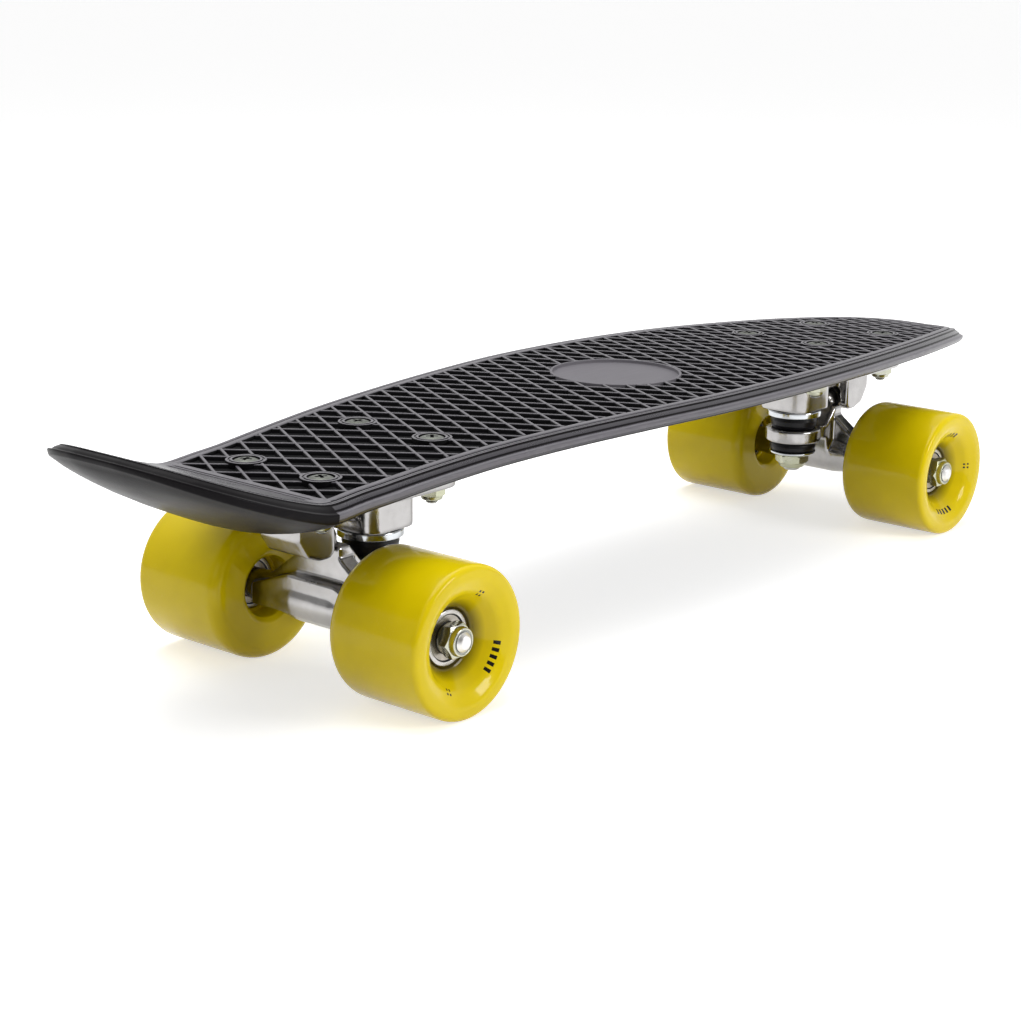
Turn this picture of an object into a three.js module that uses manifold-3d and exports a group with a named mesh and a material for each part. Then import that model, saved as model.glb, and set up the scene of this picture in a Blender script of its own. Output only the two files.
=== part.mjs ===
import * as THREE from 'three';
import { mergeVertices } from 'three/addons/utils/BufferGeometryUtils.js';
import Module from 'manifold-3d';

// A small plastic cruiser board, in millimetres. The nose points along +X, +Y is the rider's left,
// +Z is up, and the origin lies on the floor under the middle of the board.

// Deck
const deckLength = 589;
const deckWidth = 141;
const crownHeight = 95.6;
const archDrop = 19;
const kickLength = 70;
const kickRise = 26;
const kickStartAngle = 16;
const kickBlend = 2.5;
const shoulderWidth = 9;
const shoulderDrop = 3.5;
const skirtHeight = 3.6;
const skirtThinningShare = 0.5;
const bellyDepth = 10.5;
const noseTipWidth = 5;
const panelThickness = 5;
const lipInset = 16;
const hollowNoseMargin = 34;
const hollowKickMargin = 8;
const ribThickness = 3;
const ribDepth = 5;
const ribSpacing = 26;
const crossRibs = 5;
const badgeDiameter = 56.4;
const badgeRim = 1.2;
const badgeDepth = 1.6;
const badgeCentre = 0.2;
const waffleDepth = 1.6;
const waffleInset = 10.5;
const waffleTailMargin = 3;
const waffleRibWidth = 1.8;
const waffleRibSpacing = 21.3;
const waffleRibAngle = 61.5;
const waffleShift = 14.4;

// Places of the wheelbase and of the screws
const wheelbase = 356.6;
const wheelbaseShift = -4.5;
const screwSpacingLong = 61;
const screwSpacingWide = 40.5;
const screwShift = 9.3;

// Wheels and what they turn on
const wheelRadius = 30;
const wheelWidth = 46;
const wheelLip = 5.7;
const wheelCentre = 53;
const dishRadius = 24.3;
const dishShoulderInset = 4.8;
const dishShoulderDrop = 2.2;
const dishMouth = 12.4;
const coreBore = 8.2;
const innerMouth = 12.6;
const innerMouthFlare = 2;
const bearingRadius = 11;
const bearingWidth = 7;
const spacerLength = 10;
const spacerRadius = 5.2;
const axleRadius = 4;
const axleTip = 74.4;
const axleChamfer = 0.8;
const axleNutFlats = 12.7;
const axleNutHeight = 6.8;
const washerRadius = 5.6;
const washerThickness = 0.9;

// Truck: heights are above the axle and offsets are along the board, towards its middle
const plateRise = 48;
const plateLength = 82;
const plateWidth = 57;
const plateThickness = 5;
const plateCorner = 9;
const kingpinOffset = 26;
const kingpinRadius = 4.75;
const kingpinHeadFlats = 14.3;
const kingpinHeadHeight = 4.5;
const kingpinTail = 1.5;
const kingpinNutFlats = 14.3;
const kingpinNutHeight = 6.5;
const ringRise = 13.2;
const ringRadius = 14;
const ringHeight = 6.8;
const ringBore = 6.5;
const upperBushingHeight = 7.7;
const lowerBushingHeight = 5;
const bushingRadius = 11.4;
const bushingCorner = 1.2;
const cupWasherRadius = 13.6;
const cupWasherThickness = 2;
const cupLipDepth = 1.5;
const cupLipThickness = 1.6;
const lowerWasherRadius = 11.6;
const lowerWasherTaper = 2.4;
const bossHalfWidth = 14;
const pivotOffset = -12.5;
const pivotRise = 31;
const pivotCupRadius = 6.4;
const pivotCupWall = 1.5;
const pivotCupDepth = 13;
const pivotCupFloor = 5.5;
const pivotBossWidth = 23;
const pivotBossOuter = 12;
const pivotBossInner = 7.5;
const pivotBossDrop = 9.5;
const pivotBossBevel = 5;
const spineWidth = 12;
const spineDepth = 10;
const stemRadius = 4.6;
const stemRootRadius = 6.4;
const hangerHalfWidth = 39.8;
const hangerEndRadius = 6.6;
const hangerMiddleRadius = 9.6;
const wingReach = 33;
const wingTop = 22.5;
const wingTopHalfWidth = 7.5;
const wingThickness = 8;
const wingOutboard = 2.4;
const webOutboard = 8.2;
const webTop = 10.5;
const webTopHalfWidth = 13;
const webBottomShare = 0.85;
const armWidth = 21;
const armGap = 1.2;

// Screws through the deck
const screwRadius = 2.4;
const screwHeadRadius = 5;
const screwHeadHeight = 2.6;
const screwSlot = 1.2;
const screwSlotLength = 5;
const screwSlotDepth = 1.4;
const screwTail = 1.5;
const screwNutFlats = 9.5;
const screwNutHeight = 5;
const collarRadius = 8;
const collarRise = 0.4;
const screwRecess = 0.8;

// Clearances
const runningGap = 0.15;
const fitGap = 0.2;
const seatGap = 0.3;
const overrun = 5;

// Roundness
const wheelSegments = 26;
const bearingSegments = 20;
const turnedSegments = 20;
const screwSegments = 12;
const hexSides = 6;
const curveSteps = 3;
const stationsPerSpan = 2;
const stripSpans = 10;
const waffleSpans = 32;

// Outline of the deck seen from above: places along half the length, half-widths along half the width
const planShares = [
  [-1, 0.17], [-0.992, 0.34], [-0.977, 0.47], [-0.95, 0.575], [-0.905, 0.66], [-0.84, 0.705], [-0.762, 0.712],
  [-0.66, 0.722], [-0.508, 0.778], [-0.355, 0.85], [-0.202, 0.925], [-0.049, 0.987], [0.08, 1],
  [0.205, 0.983], [0.358, 0.925], [0.511, 0.826], [0.664, 0.698], [0.817, 0.523], [0.918, 0.354],
  [0.969, 0.215], [0.993, 0.1],
];

// Arch of the deck: places along half the length, and shares of the drop below the crown
const archShares = [
  [-1, 1.3], [-0.762, 0.56], [-0.66, 0.38], [-0.559, 0.232], [-0.457, 0.121], [-0.321, 0.045],
  [-0.151, 0.005], [0.019, 0], [0.188, 0.025], [0.358, 0.08], [0.528, 0.18], [0.681, 0.3],
  [0.817, 0.452], [0.918, 0.645], [0.969, 0.82], [1, 0.95],
];

// Fullness of the underside: places along half the length, and shares of the belly's depth
const bellyShares = [
  [-1, 0.15], [-0.95, 0.6], [-0.85, 0.9], [-0.76, 1], [-0.6, 0.75],
  [0.6, 0.75], [0.85, 0.6], [1, 0.1],
];

// Middle of a size
const halfShare = 0.5;

const halfLength = deckLength / 2;
const halfWidth = deckWidth / 2;
const edgeHeight = shoulderDrop + skirtHeight;
const bendPlace = kickLength - halfLength;
const axleHeight = wheelRadius;
const plateTop = axleHeight + plateRise;
const plateBottom = plateTop - plateThickness;
const ringCentre = axleHeight + ringRise;
const ringTop = ringCentre + ringHeight / 2;
const ringBottom = ringCentre - ringHeight / 2;
const upperWasherBottom = ringTop + upperBushingHeight;
const bossBottom = upperWasherBottom + cupWasherThickness;
const lowerWasherTop = ringBottom - lowerBushingHeight;
const kingpinNutTop = lowerWasherTop - cupWasherThickness;
const kingpinEnd = kingpinNutTop - kingpinNutHeight - kingpinTail;
const pivotHeight = axleHeight + pivotRise;
const bearingInner = spacerLength / 2;
const bearingOuter = bearingInner + bearingWidth;
const screwNutBottom = plateBottom - screwNutHeight;
const screwEnd = screwNutBottom - screwTail;

const wasm = await Module();
wasm.setup();

const materials = {
  deck: { color: 0x1c1b20, roughness: 0.42, metalness: 0 },
  cast: { color: 0xc9c7c0, roughness: 0.3, metalness: 1 },
  steel: { color: 0xb9bcbf, roughness: 0.25, metalness: 1 },
  zinc: { color: 0xc4c2b8, roughness: 0.35, metalness: 1 },
  chrome: { color: 0xd8dadb, roughness: 0.12, metalness: 1 },
  rubber: { color: 0x17151a, roughness: 0.55, metalness: 0 },
  wheel: { color: 0xdcc80c, roughness: 0.28, metalness: 0 },
};

const board = new THREE.Group();

// Adds one named piece to a group
function addPiece(group, name, geometry, look) {
  const piece = new THREE.Mesh(geometry, new THREE.MeshStandardMaterial(materials[look]));
  piece.name = name;
  group.add(piece);
}

// Makes a solid from a closed geometry
function solidOf(geometry) {
  geometry.deleteAttribute('normal');
  geometry.deleteAttribute('uv');
  const merged = mergeVertices(geometry);
  const corners = merged.index.array;
  const kept = [];
  for (let i = 0; i < corners.length; i += 3) {
    const [a, b, c] = [corners[i], corners[i + 1], corners[i + 2]];
    if (a !== b && b !== c && c !== a) {
      kept.push(a, b, c);
    }
  }
  const vertProperties = new Float32Array(merged.attributes.position.array);
  return new wasm.Manifold(new wasm.Mesh({ numProp: 3, vertProperties, triVerts: new Uint32Array(kept) }));
}

// Turns a solid back into a geometry
function geometryOf(solid) {
  const mesh = solid.getMesh();
  const geometry = new THREE.BufferGeometry();
  geometry.setAttribute('position', new THREE.BufferAttribute(new Float32Array(mesh.vertProperties), 3));
  geometry.setIndex(new THREE.BufferAttribute(new Uint32Array(mesh.triVerts), 1));
  return geometry;
}

function joined(solids) {
  return solids.reduce((whole, solid) => whole.add(solid));
}

function cutAll(solid, cutters) {
  return cutters.reduce((whole, cutter) => whole.subtract(cutter), solid);
}

// Turned piece about Z from points of radius and height, listed with the outside on the right
function turned(points, segments) {
  const profile = points.map(([radius, height]) => new THREE.Vector2(radius, height));
  return new THREE.LatheGeometry(profile, segments).rotateX(Math.PI / 2);
}

// Turned ring about Z whose profile closes on itself
function turnedRing(points, segments) {
  return turned([...points, points[0]], segments);
}

function rod(radius, bottom, top, segments) {
  const geometry = new THREE.CylinderGeometry(radius, radius, top - bottom, segments).rotateX(Math.PI / 2);
  return geometry.translate(0, 0, (bottom + top) / 2);
}

function hexRod(flats, bottom, top) {
  return rod(flats / Math.sqrt(3), bottom, top, hexSides);
}

function block(from, to) {
  const size = new THREE.Vector3().subVectors(to, from);
  const middle = new THREE.Vector3().addVectors(from, to).multiplyScalar(halfShare);
  return new THREE.BoxGeometry(size.x, size.y, size.z).translate(middle.x, middle.y, middle.z);
}

function shapeOf(points) {
  return new THREE.Shape(points.map(([across, up]) => new THREE.Vector2(across, up)));
}

// Plate of the given outline in the X-Z plane, with its thickness along Y and its middle on Y = 0
function sidePlate(points, thickness) {
  const plate = new THREE.ExtrudeGeometry(shapeOf(points), { depth: thickness, bevelEnabled: false });
  return plate.rotateX(Math.PI / 2).translate(0, thickness / 2, 0);
}

// Plate of the given outline in the Y-Z plane, with its thickness along X
function crossPlate(points, from, to) {
  const plate = new THREE.ExtrudeGeometry(shapeOf(points), { depth: to - from, bevelEnabled: false });
  return plate.rotateX(Math.PI / 2).rotateZ(Math.PI / 2).translate(from, 0, 0);
}

// Moves every corner of a geometry with the given function
function reshape(geometry, move) {
  const places = geometry.attributes.position;
  for (let i = 0; i < places.count; i += 1) {
    const moved = move(new THREE.Vector3().fromBufferAttribute(places, i));
    places.setXYZ(i, moved.x, moved.y, moved.z);
  }
  return geometry;
}

// Value of a curve of shares at one place along the deck
function alongCurve(stations, place) {
  const last = stations.length - 1;
  let index = 1;
  while (index < last && stations[index].x < place) {
    index += 1;
  }
  const [before, after] = [stations[index - 1], stations[index]];
  const share = (place - before.x) / (after.x - before.x);
  return THREE.MathUtils.lerp(before.y, after.y, share);
}

function curveStations(shares, acrossSize, perSpan) {
  const points = shares.map(([along, across]) => new THREE.Vector2(along * halfLength, across * acrossSize));
  return new THREE.SplineCurve(points).getPoints((shares.length - 1) * perSpan);
}

const planShareEnd = [1, noseTipWidth / deckWidth];
const planStations = curveStations([...planShares, planShareEnd], halfWidth, stationsPerSpan);
const archStations = curveStations(archShares, archDrop, stationsPerSpan * stationsPerSpan);
const bellyStations = curveStations(bellyShares, 1, stationsPerSpan);

function halfWidthAt(place) {
  return alongCurve(planStations, place);
}

// Height of the deck's top along its middle line, with the kick meeting the arch in a small radius
function deckTopAt(place) {
  const arch = crownHeight - alongCurve(archStations, place);
  const bendHeight = crownHeight - alongCurve(archStations, bendPlace);
  const along = (bendPlace - place) / kickLength;
  const straightRise = kickLength * Math.tan(THREE.MathUtils.degToRad(kickStartAngle));
  const kick = bendHeight + straightRise * along + (kickRise - straightRise) * Math.max(along, 0) ** 2;
  const fromTip = Math.min(halfLength - place, halfLength + place, shoulderWidth) / shoulderWidth;
  const tipFall = shoulderDrop * (1 - Math.sqrt(1 - (1 - fromTip) ** 2));
  return (kick + arch + Math.hypot(kick - arch, kickBlend)) / 2 - tipFall;
}

// Half of the deck's cross-section at its widest place, from the top's edge round to the underside
function rimPoints() {
  const points = [];
  for (let step = 0; step <= curveSteps; step += 1) {
    const angle = (step / curveSteps) * (Math.PI / 2);
    const across = halfWidth - shoulderWidth * (1 - Math.sin(angle));
    points.push([across, -shoulderDrop * (1 - Math.cos(angle))]);
  }
  for (let step = curveSteps; step > 0; step -= 1) {
    const share = step / curveSteps;
    points.push([share * halfWidth, -edgeHeight - bellyDepth * (1 - share ** 2)]);
  }
  return points;
}

// Outer form of the deck: its cross-section drawn along the plan outline and the arch
function deckForm() {
  const right = rimPoints();
  const left = right.map(([across, up]) => [-across, up]).reverse();
  const spans = planStations.length - 1;
  const section = shapeOf([...left, ...right, [0, -edgeHeight - bellyDepth]]);
  const form = new THREE.ExtrudeGeometry(section, { depth: spans, steps: spans, bevelEnabled: false });
  return reshape(form, (point) => {
    const station = planStations[Math.round(point.z)];
    const rim = Math.min(shoulderWidth, station.y / 2);
    const fromEdge = halfWidth - Math.abs(point.x);
    const inRim = station.y - (fromEdge * rim) / shoulderWidth;
    const inMiddle = ((station.y - rim) * Math.abs(point.x)) / (halfWidth - shoulderWidth);
    const across = Math.sign(point.x) * (fromEdge <= shoulderWidth ? inRim : inMiddle);
    const fullness = alongCurve(bellyStations, station.x);
    const shoulder = Math.min(-point.y, shoulderDrop);
    const skirt = Math.min(-point.y - shoulder, skirtHeight) * (1 - skirtThinningShare * (1 - fullness));
    const belly = Math.max(-point.y - edgeHeight, 0) * fullness;
    return new THREE.Vector3(station.x, across, deckTopAt(station.x) - shoulder - skirt - belly);
  });
}

// Space under the deck between its lips
function hollowForm() {
  const spans = planStations.length - 1;
  const start = bendPlace + hollowKickMargin;
  const end = halfLength - hollowNoseMargin;
  return reshape(new THREE.BoxGeometry(1, 1, 1, spans, 1, 1), (point) => {
    const place = THREE.MathUtils.lerp(start, end, point.x + halfShare);
    const across = Math.sign(point.y) * (halfWidthAt(place) - lipInset);
    const depth = point.z > 0 ? panelThickness : edgeHeight + bellyDepth + overrun;
    return new THREE.Vector3(place, across, deckTopAt(place) - depth);
  });
}

// Strip buried in the deck's panel: its top follows the arch and its bottom has the given height
function stripForm(from, to, middle, width, bottomAt) {
  return reshape(new THREE.BoxGeometry(1, 1, 1, stripSpans, 1, 1), (point) => {
    const place = THREE.MathUtils.lerp(from, to, point.x + halfShare);
    const up = point.z > 0 ? deckTopAt(place) - panelThickness * halfShare : bottomAt(place);
    return new THREE.Vector3(place, middle + point.y * width, up);
  });
}

// Edge of the sunken field of the waffle, which keeps one distance from the outline
function waffleEdge() {
  const moved = planStations.map((station, index) => {
    const before = planStations[Math.max(index - 1, 0)];
    const after = planStations[Math.min(index + 1, planStations.length - 1)];
    const along = new THREE.Vector2().subVectors(after, before).normalize();
    return new THREE.Vector2(station.x + along.y * waffleInset, station.y - along.x * waffleInset);
  });
  return moved.filter((station) => station.y > 0 && station.x > bendPlace - waffleInset);
}

// Upright bars along the main ribs of the waffle, which leave the field's cells between them
function waffleBars() {
  const angle = THREE.MathUtils.degToRad(waffleRibAngle);
  const lines = Math.ceil(halfWidth / Math.tan(angle) / waffleRibSpacing);
  const low = new THREE.Vector3(-halfWidth / Math.sin(angle), -waffleRibWidth / 2, plateTop);
  const high = new THREE.Vector3(halfWidth / Math.sin(angle), waffleRibWidth / 2, crownHeight + kickRise);
  const bars = [];
  const first = bendPlace + waffleShift - lines * waffleRibSpacing;
  for (let place = first; place < halfLength + lines * waffleRibSpacing; place += waffleRibSpacing) {
    for (const turn of [angle, -angle]) {
      bars.push(solidOf(block(low, high).rotateZ(turn).translate(place, 0, 0)));
    }
  }
  return bars;
}

// Cells sunk into the deck's top between the main ribs, the border and the rim of the plate
function waffleForm() {
  const edge = waffleEdge();
  const start = bendPlace + waffleTailMargin;
  const end = edge[edge.length - 1].x;
  const field = solidOf(reshape(new THREE.BoxGeometry(1, 1, 1, waffleSpans, 1, 1), (point) => {
    const place = THREE.MathUtils.lerp(start, end, point.x + halfShare);
    const up = point.z > 0 ? overrun : -waffleDepth;
    return new THREE.Vector3(place, Math.sign(point.y) * alongCurve(edge, place), deckTopAt(place) + up);
  }));
  const rim = rod(badgeDiameter / 2 + badgeRim, plateTop, crownHeight + kickRise, wheelSegments);
  return cutAll(field, [solidOf(rim.translate(badgeCentre, 0, 0)), ...waffleBars()]);
}

// Stiffening ribs under the deck's panel, along it and across it
function deckRibs() {
  const ribBottomAt = (place) => deckTopAt(place) - panelThickness - ribDepth;
  const end = halfLength - hollowNoseMargin;
  const ribs = [-1, 1].map((side) => {
    return solidOf(stripForm(bendPlace, end, side * ribSpacing, ribThickness, ribBottomAt));
  });
  for (let i = 0; i < crossRibs; i += 1) {
    const share = (i + halfShare) / crossRibs - halfShare;
    const place = wheelbaseShift + share * wheelbase * halfShare;
    const edges = [place - ribThickness / 2, place + ribThickness / 2];
    ribs.push(solidOf(stripForm(...edges, 0, deckWidth, ribBottomAt)));
  }
  return joined(ribs);
}

const trucks = [
  { name: 'tail', place: wheelbaseShift - wheelbase / 2, turn: 0, inward: 1 },
  { name: 'nose', place: wheelbaseShift + wheelbase / 2, turn: Math.PI, inward: -1 },
];

// The four screws of one truck, in the truck's own frame
function screwPlaces(truck) {
  const places = [];
  for (const [end, along] of [['outer', -1], ['inner', 1]]) {
    for (const side of [-1, 1]) {
      const x = screwShift + (along * screwSpacingLong) / 2;
      const y = (side * screwSpacingWide) / 2;
      const label = side * truck.inward > 0 ? 'left' : 'right';
      places.push({ x, y, name: `${end}_${label}`, seat: deckTopAt(truck.place + truck.inward * x) });
    }
  }
  return places;
}

// Pad and screw collars that one truck needs in the deck, and the room and holes cut for it
function truckSeat(truck) {
  const middle = truck.place + truck.inward * screwShift;
  const edges = [middle - plateLength / 2, middle + plateLength / 2];
  const roomLength = plateLength / 2 + seatGap;
  const roomWidth = plateWidth / 2 + seatGap;
  const roomFrom = new THREE.Vector3(screwShift - roomLength, -roomWidth, 0);
  const roomTo = new THREE.Vector3(screwShift + roomLength, roomWidth, plateTop);
  const added = [];
  const removed = [solidOf(block(roomFrom, roomTo))];
  for (const screw of screwPlaces(truck)) {
    const top = screw.seat + collarRise;
    const collar = rod(collarRadius, screw.seat - panelThickness, top, turnedSegments);
    const bore = rod(screwRadius + fitGap, plateTop - overrun, top + overrun, screwSegments);
    const headBottom = top - screwRecess - screwHeadHeight - seatGap;
    const headSeat = rod(screwHeadRadius + seatGap, headBottom, top + overrun, turnedSegments);
    added.push(solidOf(collar.translate(screw.x, screw.y, 0)));
    removed.push(solidOf(bore.translate(screw.x, screw.y, 0)));
    removed.push(solidOf(headSeat.translate(screw.x, screw.y, 0)));
  }
  const turnDegrees = THREE.MathUtils.radToDeg(truck.turn);
  const settle = (solid) => solid.rotate([0, 0, turnDegrees]).translate([truck.place, 0, 0]);
  const pad = solidOf(stripForm(...edges, 0, plateWidth, () => plateTop));
  return { added: [pad, ...added.map(settle)], removed: removed.map(settle) };
}

function makeDeck() {
  const form = solidOf(deckForm());
  const shell = cutAll(form, [solidOf(hollowForm()), waffleForm()]);
  const seats = trucks.map(truckSeat);
  const badge = rod(badgeDiameter / 2, -badgeDepth, overrun, wheelSegments);
  const badgeHeight = deckTopAt(badgeCentre);
  const withRibs = shell.add(deckRibs().intersect(form));
  const whole = joined([withRibs, ...seats.flatMap((seat) => seat.added)]);
  const cuts = seats.flatMap((seat) => seat.removed);
  return cutAll(whole, [...cuts, solidOf(badge.translate(badgeCentre, 0, badgeHeight))]);
}

function makeScrew(screw) {
  const top = screw.seat + collarRise - screwRecess;
  const body = solidOf(turned([
    [0, screwEnd],
    [screwRadius, screwEnd],
    [screwRadius, top - screwHeadHeight],
    [screwHeadRadius, top - screwHeadHeight],
    [screwHeadRadius, top],
    [0, top],
  ], screwSegments));
  const slotBottom = top - screwSlotDepth;
  const along = new THREE.Vector3(screwSlotLength / 2, screwSlot / 2, top + overrun);
  const across = new THREE.Vector3(screwSlot / 2, screwSlotLength / 2, top + overrun);
  const slots = [along, across].map((corner) => {
    const opposite = new THREE.Vector3(-corner.x, -corner.y, slotBottom);
    return solidOf(block(opposite, corner));
  });
  return geometryOf(cutAll(body, slots)).translate(screw.x, screw.y, 0);
}

// Hexagon nut with its bore about Z
function makeNut(flats, bottom, top, boreRadius, segments) {
  const bore = solidOf(rod(boreRadius, bottom - overrun, top + overrun, segments));
  return geometryOf(solidOf(hexRod(flats, bottom, top)).subtract(bore));
}

function makeScrewNut(screw) {
  const nut = makeNut(screwNutFlats, screwNutBottom, plateBottom, screwRadius + runningGap, screwSegments);
  return nut.translate(screw.x, screw.y, 0);
}

function makeKingpinNut() {
  const bottom = kingpinNutTop - kingpinNutHeight;
  const nut = makeNut(kingpinNutFlats, bottom, kingpinNutTop, kingpinRadius + runningGap, turnedSegments);
  return nut.translate(kingpinOffset, 0, 0);
}

// Direction of the steering axis in a truck, from the kingpin's ring up to the pivot
const steerAngle = Math.atan2(pivotHeight - ringCentre, kingpinOffset - pivotOffset);

// Turns a piece made along Z so that it lies on the steering axis, with its start at the pivot
function onSteerAxis(geometry) {
  return geometry.rotateY(Math.PI / 2 + steerAngle).translate(pivotOffset, 0, pivotHeight);
}

function roundedPlate(length, width, corner, bottom, thickness) {
  const [x, y] = [length / 2, width / 2];
  const outline = new THREE.Shape();
  outline.absarc(x - corner, y - corner, corner, 0, Math.PI / 2);
  outline.absarc(corner - x, y - corner, corner, Math.PI / 2, Math.PI);
  outline.absarc(corner - x, corner - y, corner, Math.PI, Math.PI * 1.5);
  outline.absarc(x - corner, corner - y, corner, Math.PI * 1.5, Math.PI * 2);
  const options = { depth: thickness, bevelEnabled: false, curveSegments: curveSteps };
  return new THREE.ExtrudeGeometry(outline, options).translate(0, 0, bottom);
}

function makeBaseplate(truck) {
  const plate = roundedPlate(plateLength, plateWidth, plateCorner, plateBottom, plateThickness);
  const root = plateBottom + plateThickness / 2;
  const bossSize = bossHalfWidth * 2;
  const boss = roundedPlate(bossSize, bossSize, bossHalfWidth / 2, bossBottom, root - bossBottom);
  const bossTip = pivotHeight - pivotBossDrop;
  const outer = pivotOffset - pivotBossOuter;
  const inner = pivotOffset + pivotBossInner;
  const pivotBoss = sidePlate([
    [outer, root],
    [outer, bossTip + pivotBossBevel * 2],
    [outer + pivotBossBevel, bossTip + pivotBossBevel / 2],
    [pivotOffset, bossTip],
    [inner - pivotBossBevel / 2, bossTip],
    [inner, bossTip + pivotBossBevel / 2],
    [inner, root],
  ], pivotBossWidth);
  const spineFrom = new THREE.Vector3(pivotOffset, -spineWidth / 2, plateBottom - spineDepth);
  const spine = block(spineFrom, new THREE.Vector3(kingpinOffset, spineWidth / 2, root));
  const whole = joined([
    solidOf(plate.translate(screwShift, 0, 0)),
    solidOf(boss.translate(kingpinOffset, 0, 0)),
    solidOf(pivotBoss),
    solidOf(spine),
  ]);
  const boreRadius = kingpinRadius + runningGap;
  const kingpinBore = rod(boreRadius, bossBottom - overrun, plateTop + overrun, turnedSegments);
  const headBottom = plateTop - kingpinHeadHeight - seatGap;
  const headSeat = hexRod(kingpinHeadFlats + seatGap * 2, headBottom, plateTop + overrun);
  const cupBore = rod(pivotCupRadius + seatGap, -pivotCupFloor - seatGap, pivotCupDepth, turnedSegments);
  const cuts = [
    solidOf(kingpinBore.translate(kingpinOffset, 0, 0)),
    solidOf(headSeat.translate(kingpinOffset, 0, 0)),
    solidOf(onSteerAxis(cupBore)),
  ];
  for (const screw of screwPlaces(truck)) {
    const bore = rod(screwRadius + fitGap, plateBottom - overrun, plateTop + overrun, screwSegments);
    cuts.push(solidOf(bore.translate(screw.x, screw.y, 0)));
  }
  return geometryOf(cutAll(whole, cuts));
}

function makePivotCup() {
  const inside = pivotCupRadius - pivotCupWall;
  const mouth = pivotBossInner;
  return onSteerAxis(turned([
    [0, -pivotCupFloor],
    [pivotCupRadius, -pivotCupFloor],
    [pivotCupRadius, mouth],
    [inside, mouth],
    [inside, pivotCupWall - pivotCupFloor],
    [0, pivotCupWall - pivotCupFloor],
  ], turnedSegments));
}

function makeKingpin() {
  const headBottom = plateTop - kingpinHeadHeight;
  const shank = solidOf(rod(kingpinRadius, kingpinEnd, headBottom + overrun * halfShare, turnedSegments));
  const head = solidOf(hexRod(kingpinHeadFlats, headBottom, plateTop - seatGap));
  return geometryOf(shank.add(head)).translate(kingpinOffset, 0, 0);
}

function makeBushing(bottom, height) {
  const inner = kingpinRadius + runningGap;
  const top = bottom + height;
  return turnedRing([
    [inner, bottom],
    [bushingRadius - bushingCorner, bottom],
    [bushingRadius, bottom + bushingCorner],
    [bushingRadius, top - bushingCorner],
    [bushingRadius - bushingCorner, top],
    [inner, top],
  ], turnedSegments).translate(kingpinOffset, 0, 0);
}

// Cup washer over the upper bushing, with its lip reaching down round it
function makeCupWasher(seat) {
  const inner = kingpinRadius + runningGap;
  const lipInner = cupWasherRadius - cupLipThickness;
  return turnedRing([
    [inner, seat],
    [lipInner, seat],
    [lipInner, seat - cupLipDepth],
    [cupWasherRadius, seat - cupLipDepth],
    [cupWasherRadius, seat + cupWasherThickness],
    [inner, seat + cupWasherThickness],
  ], turnedSegments).translate(kingpinOffset, 0, 0);
}

// Washer under the lower bushing, which narrows towards its nut
function makeLowerWasher(seat) {
  const inner = kingpinRadius + runningGap;
  const bottom = seat - cupWasherThickness;
  return turnedRing([
    [inner, bottom],
    [lowerWasherRadius - lowerWasherTaper, bottom],
    [lowerWasherRadius, bottom + cupWasherThickness * halfShare],
    [lowerWasherRadius, seat],
    [inner, seat],
  ], turnedSegments).translate(kingpinOffset, 0, 0);
}

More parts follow.
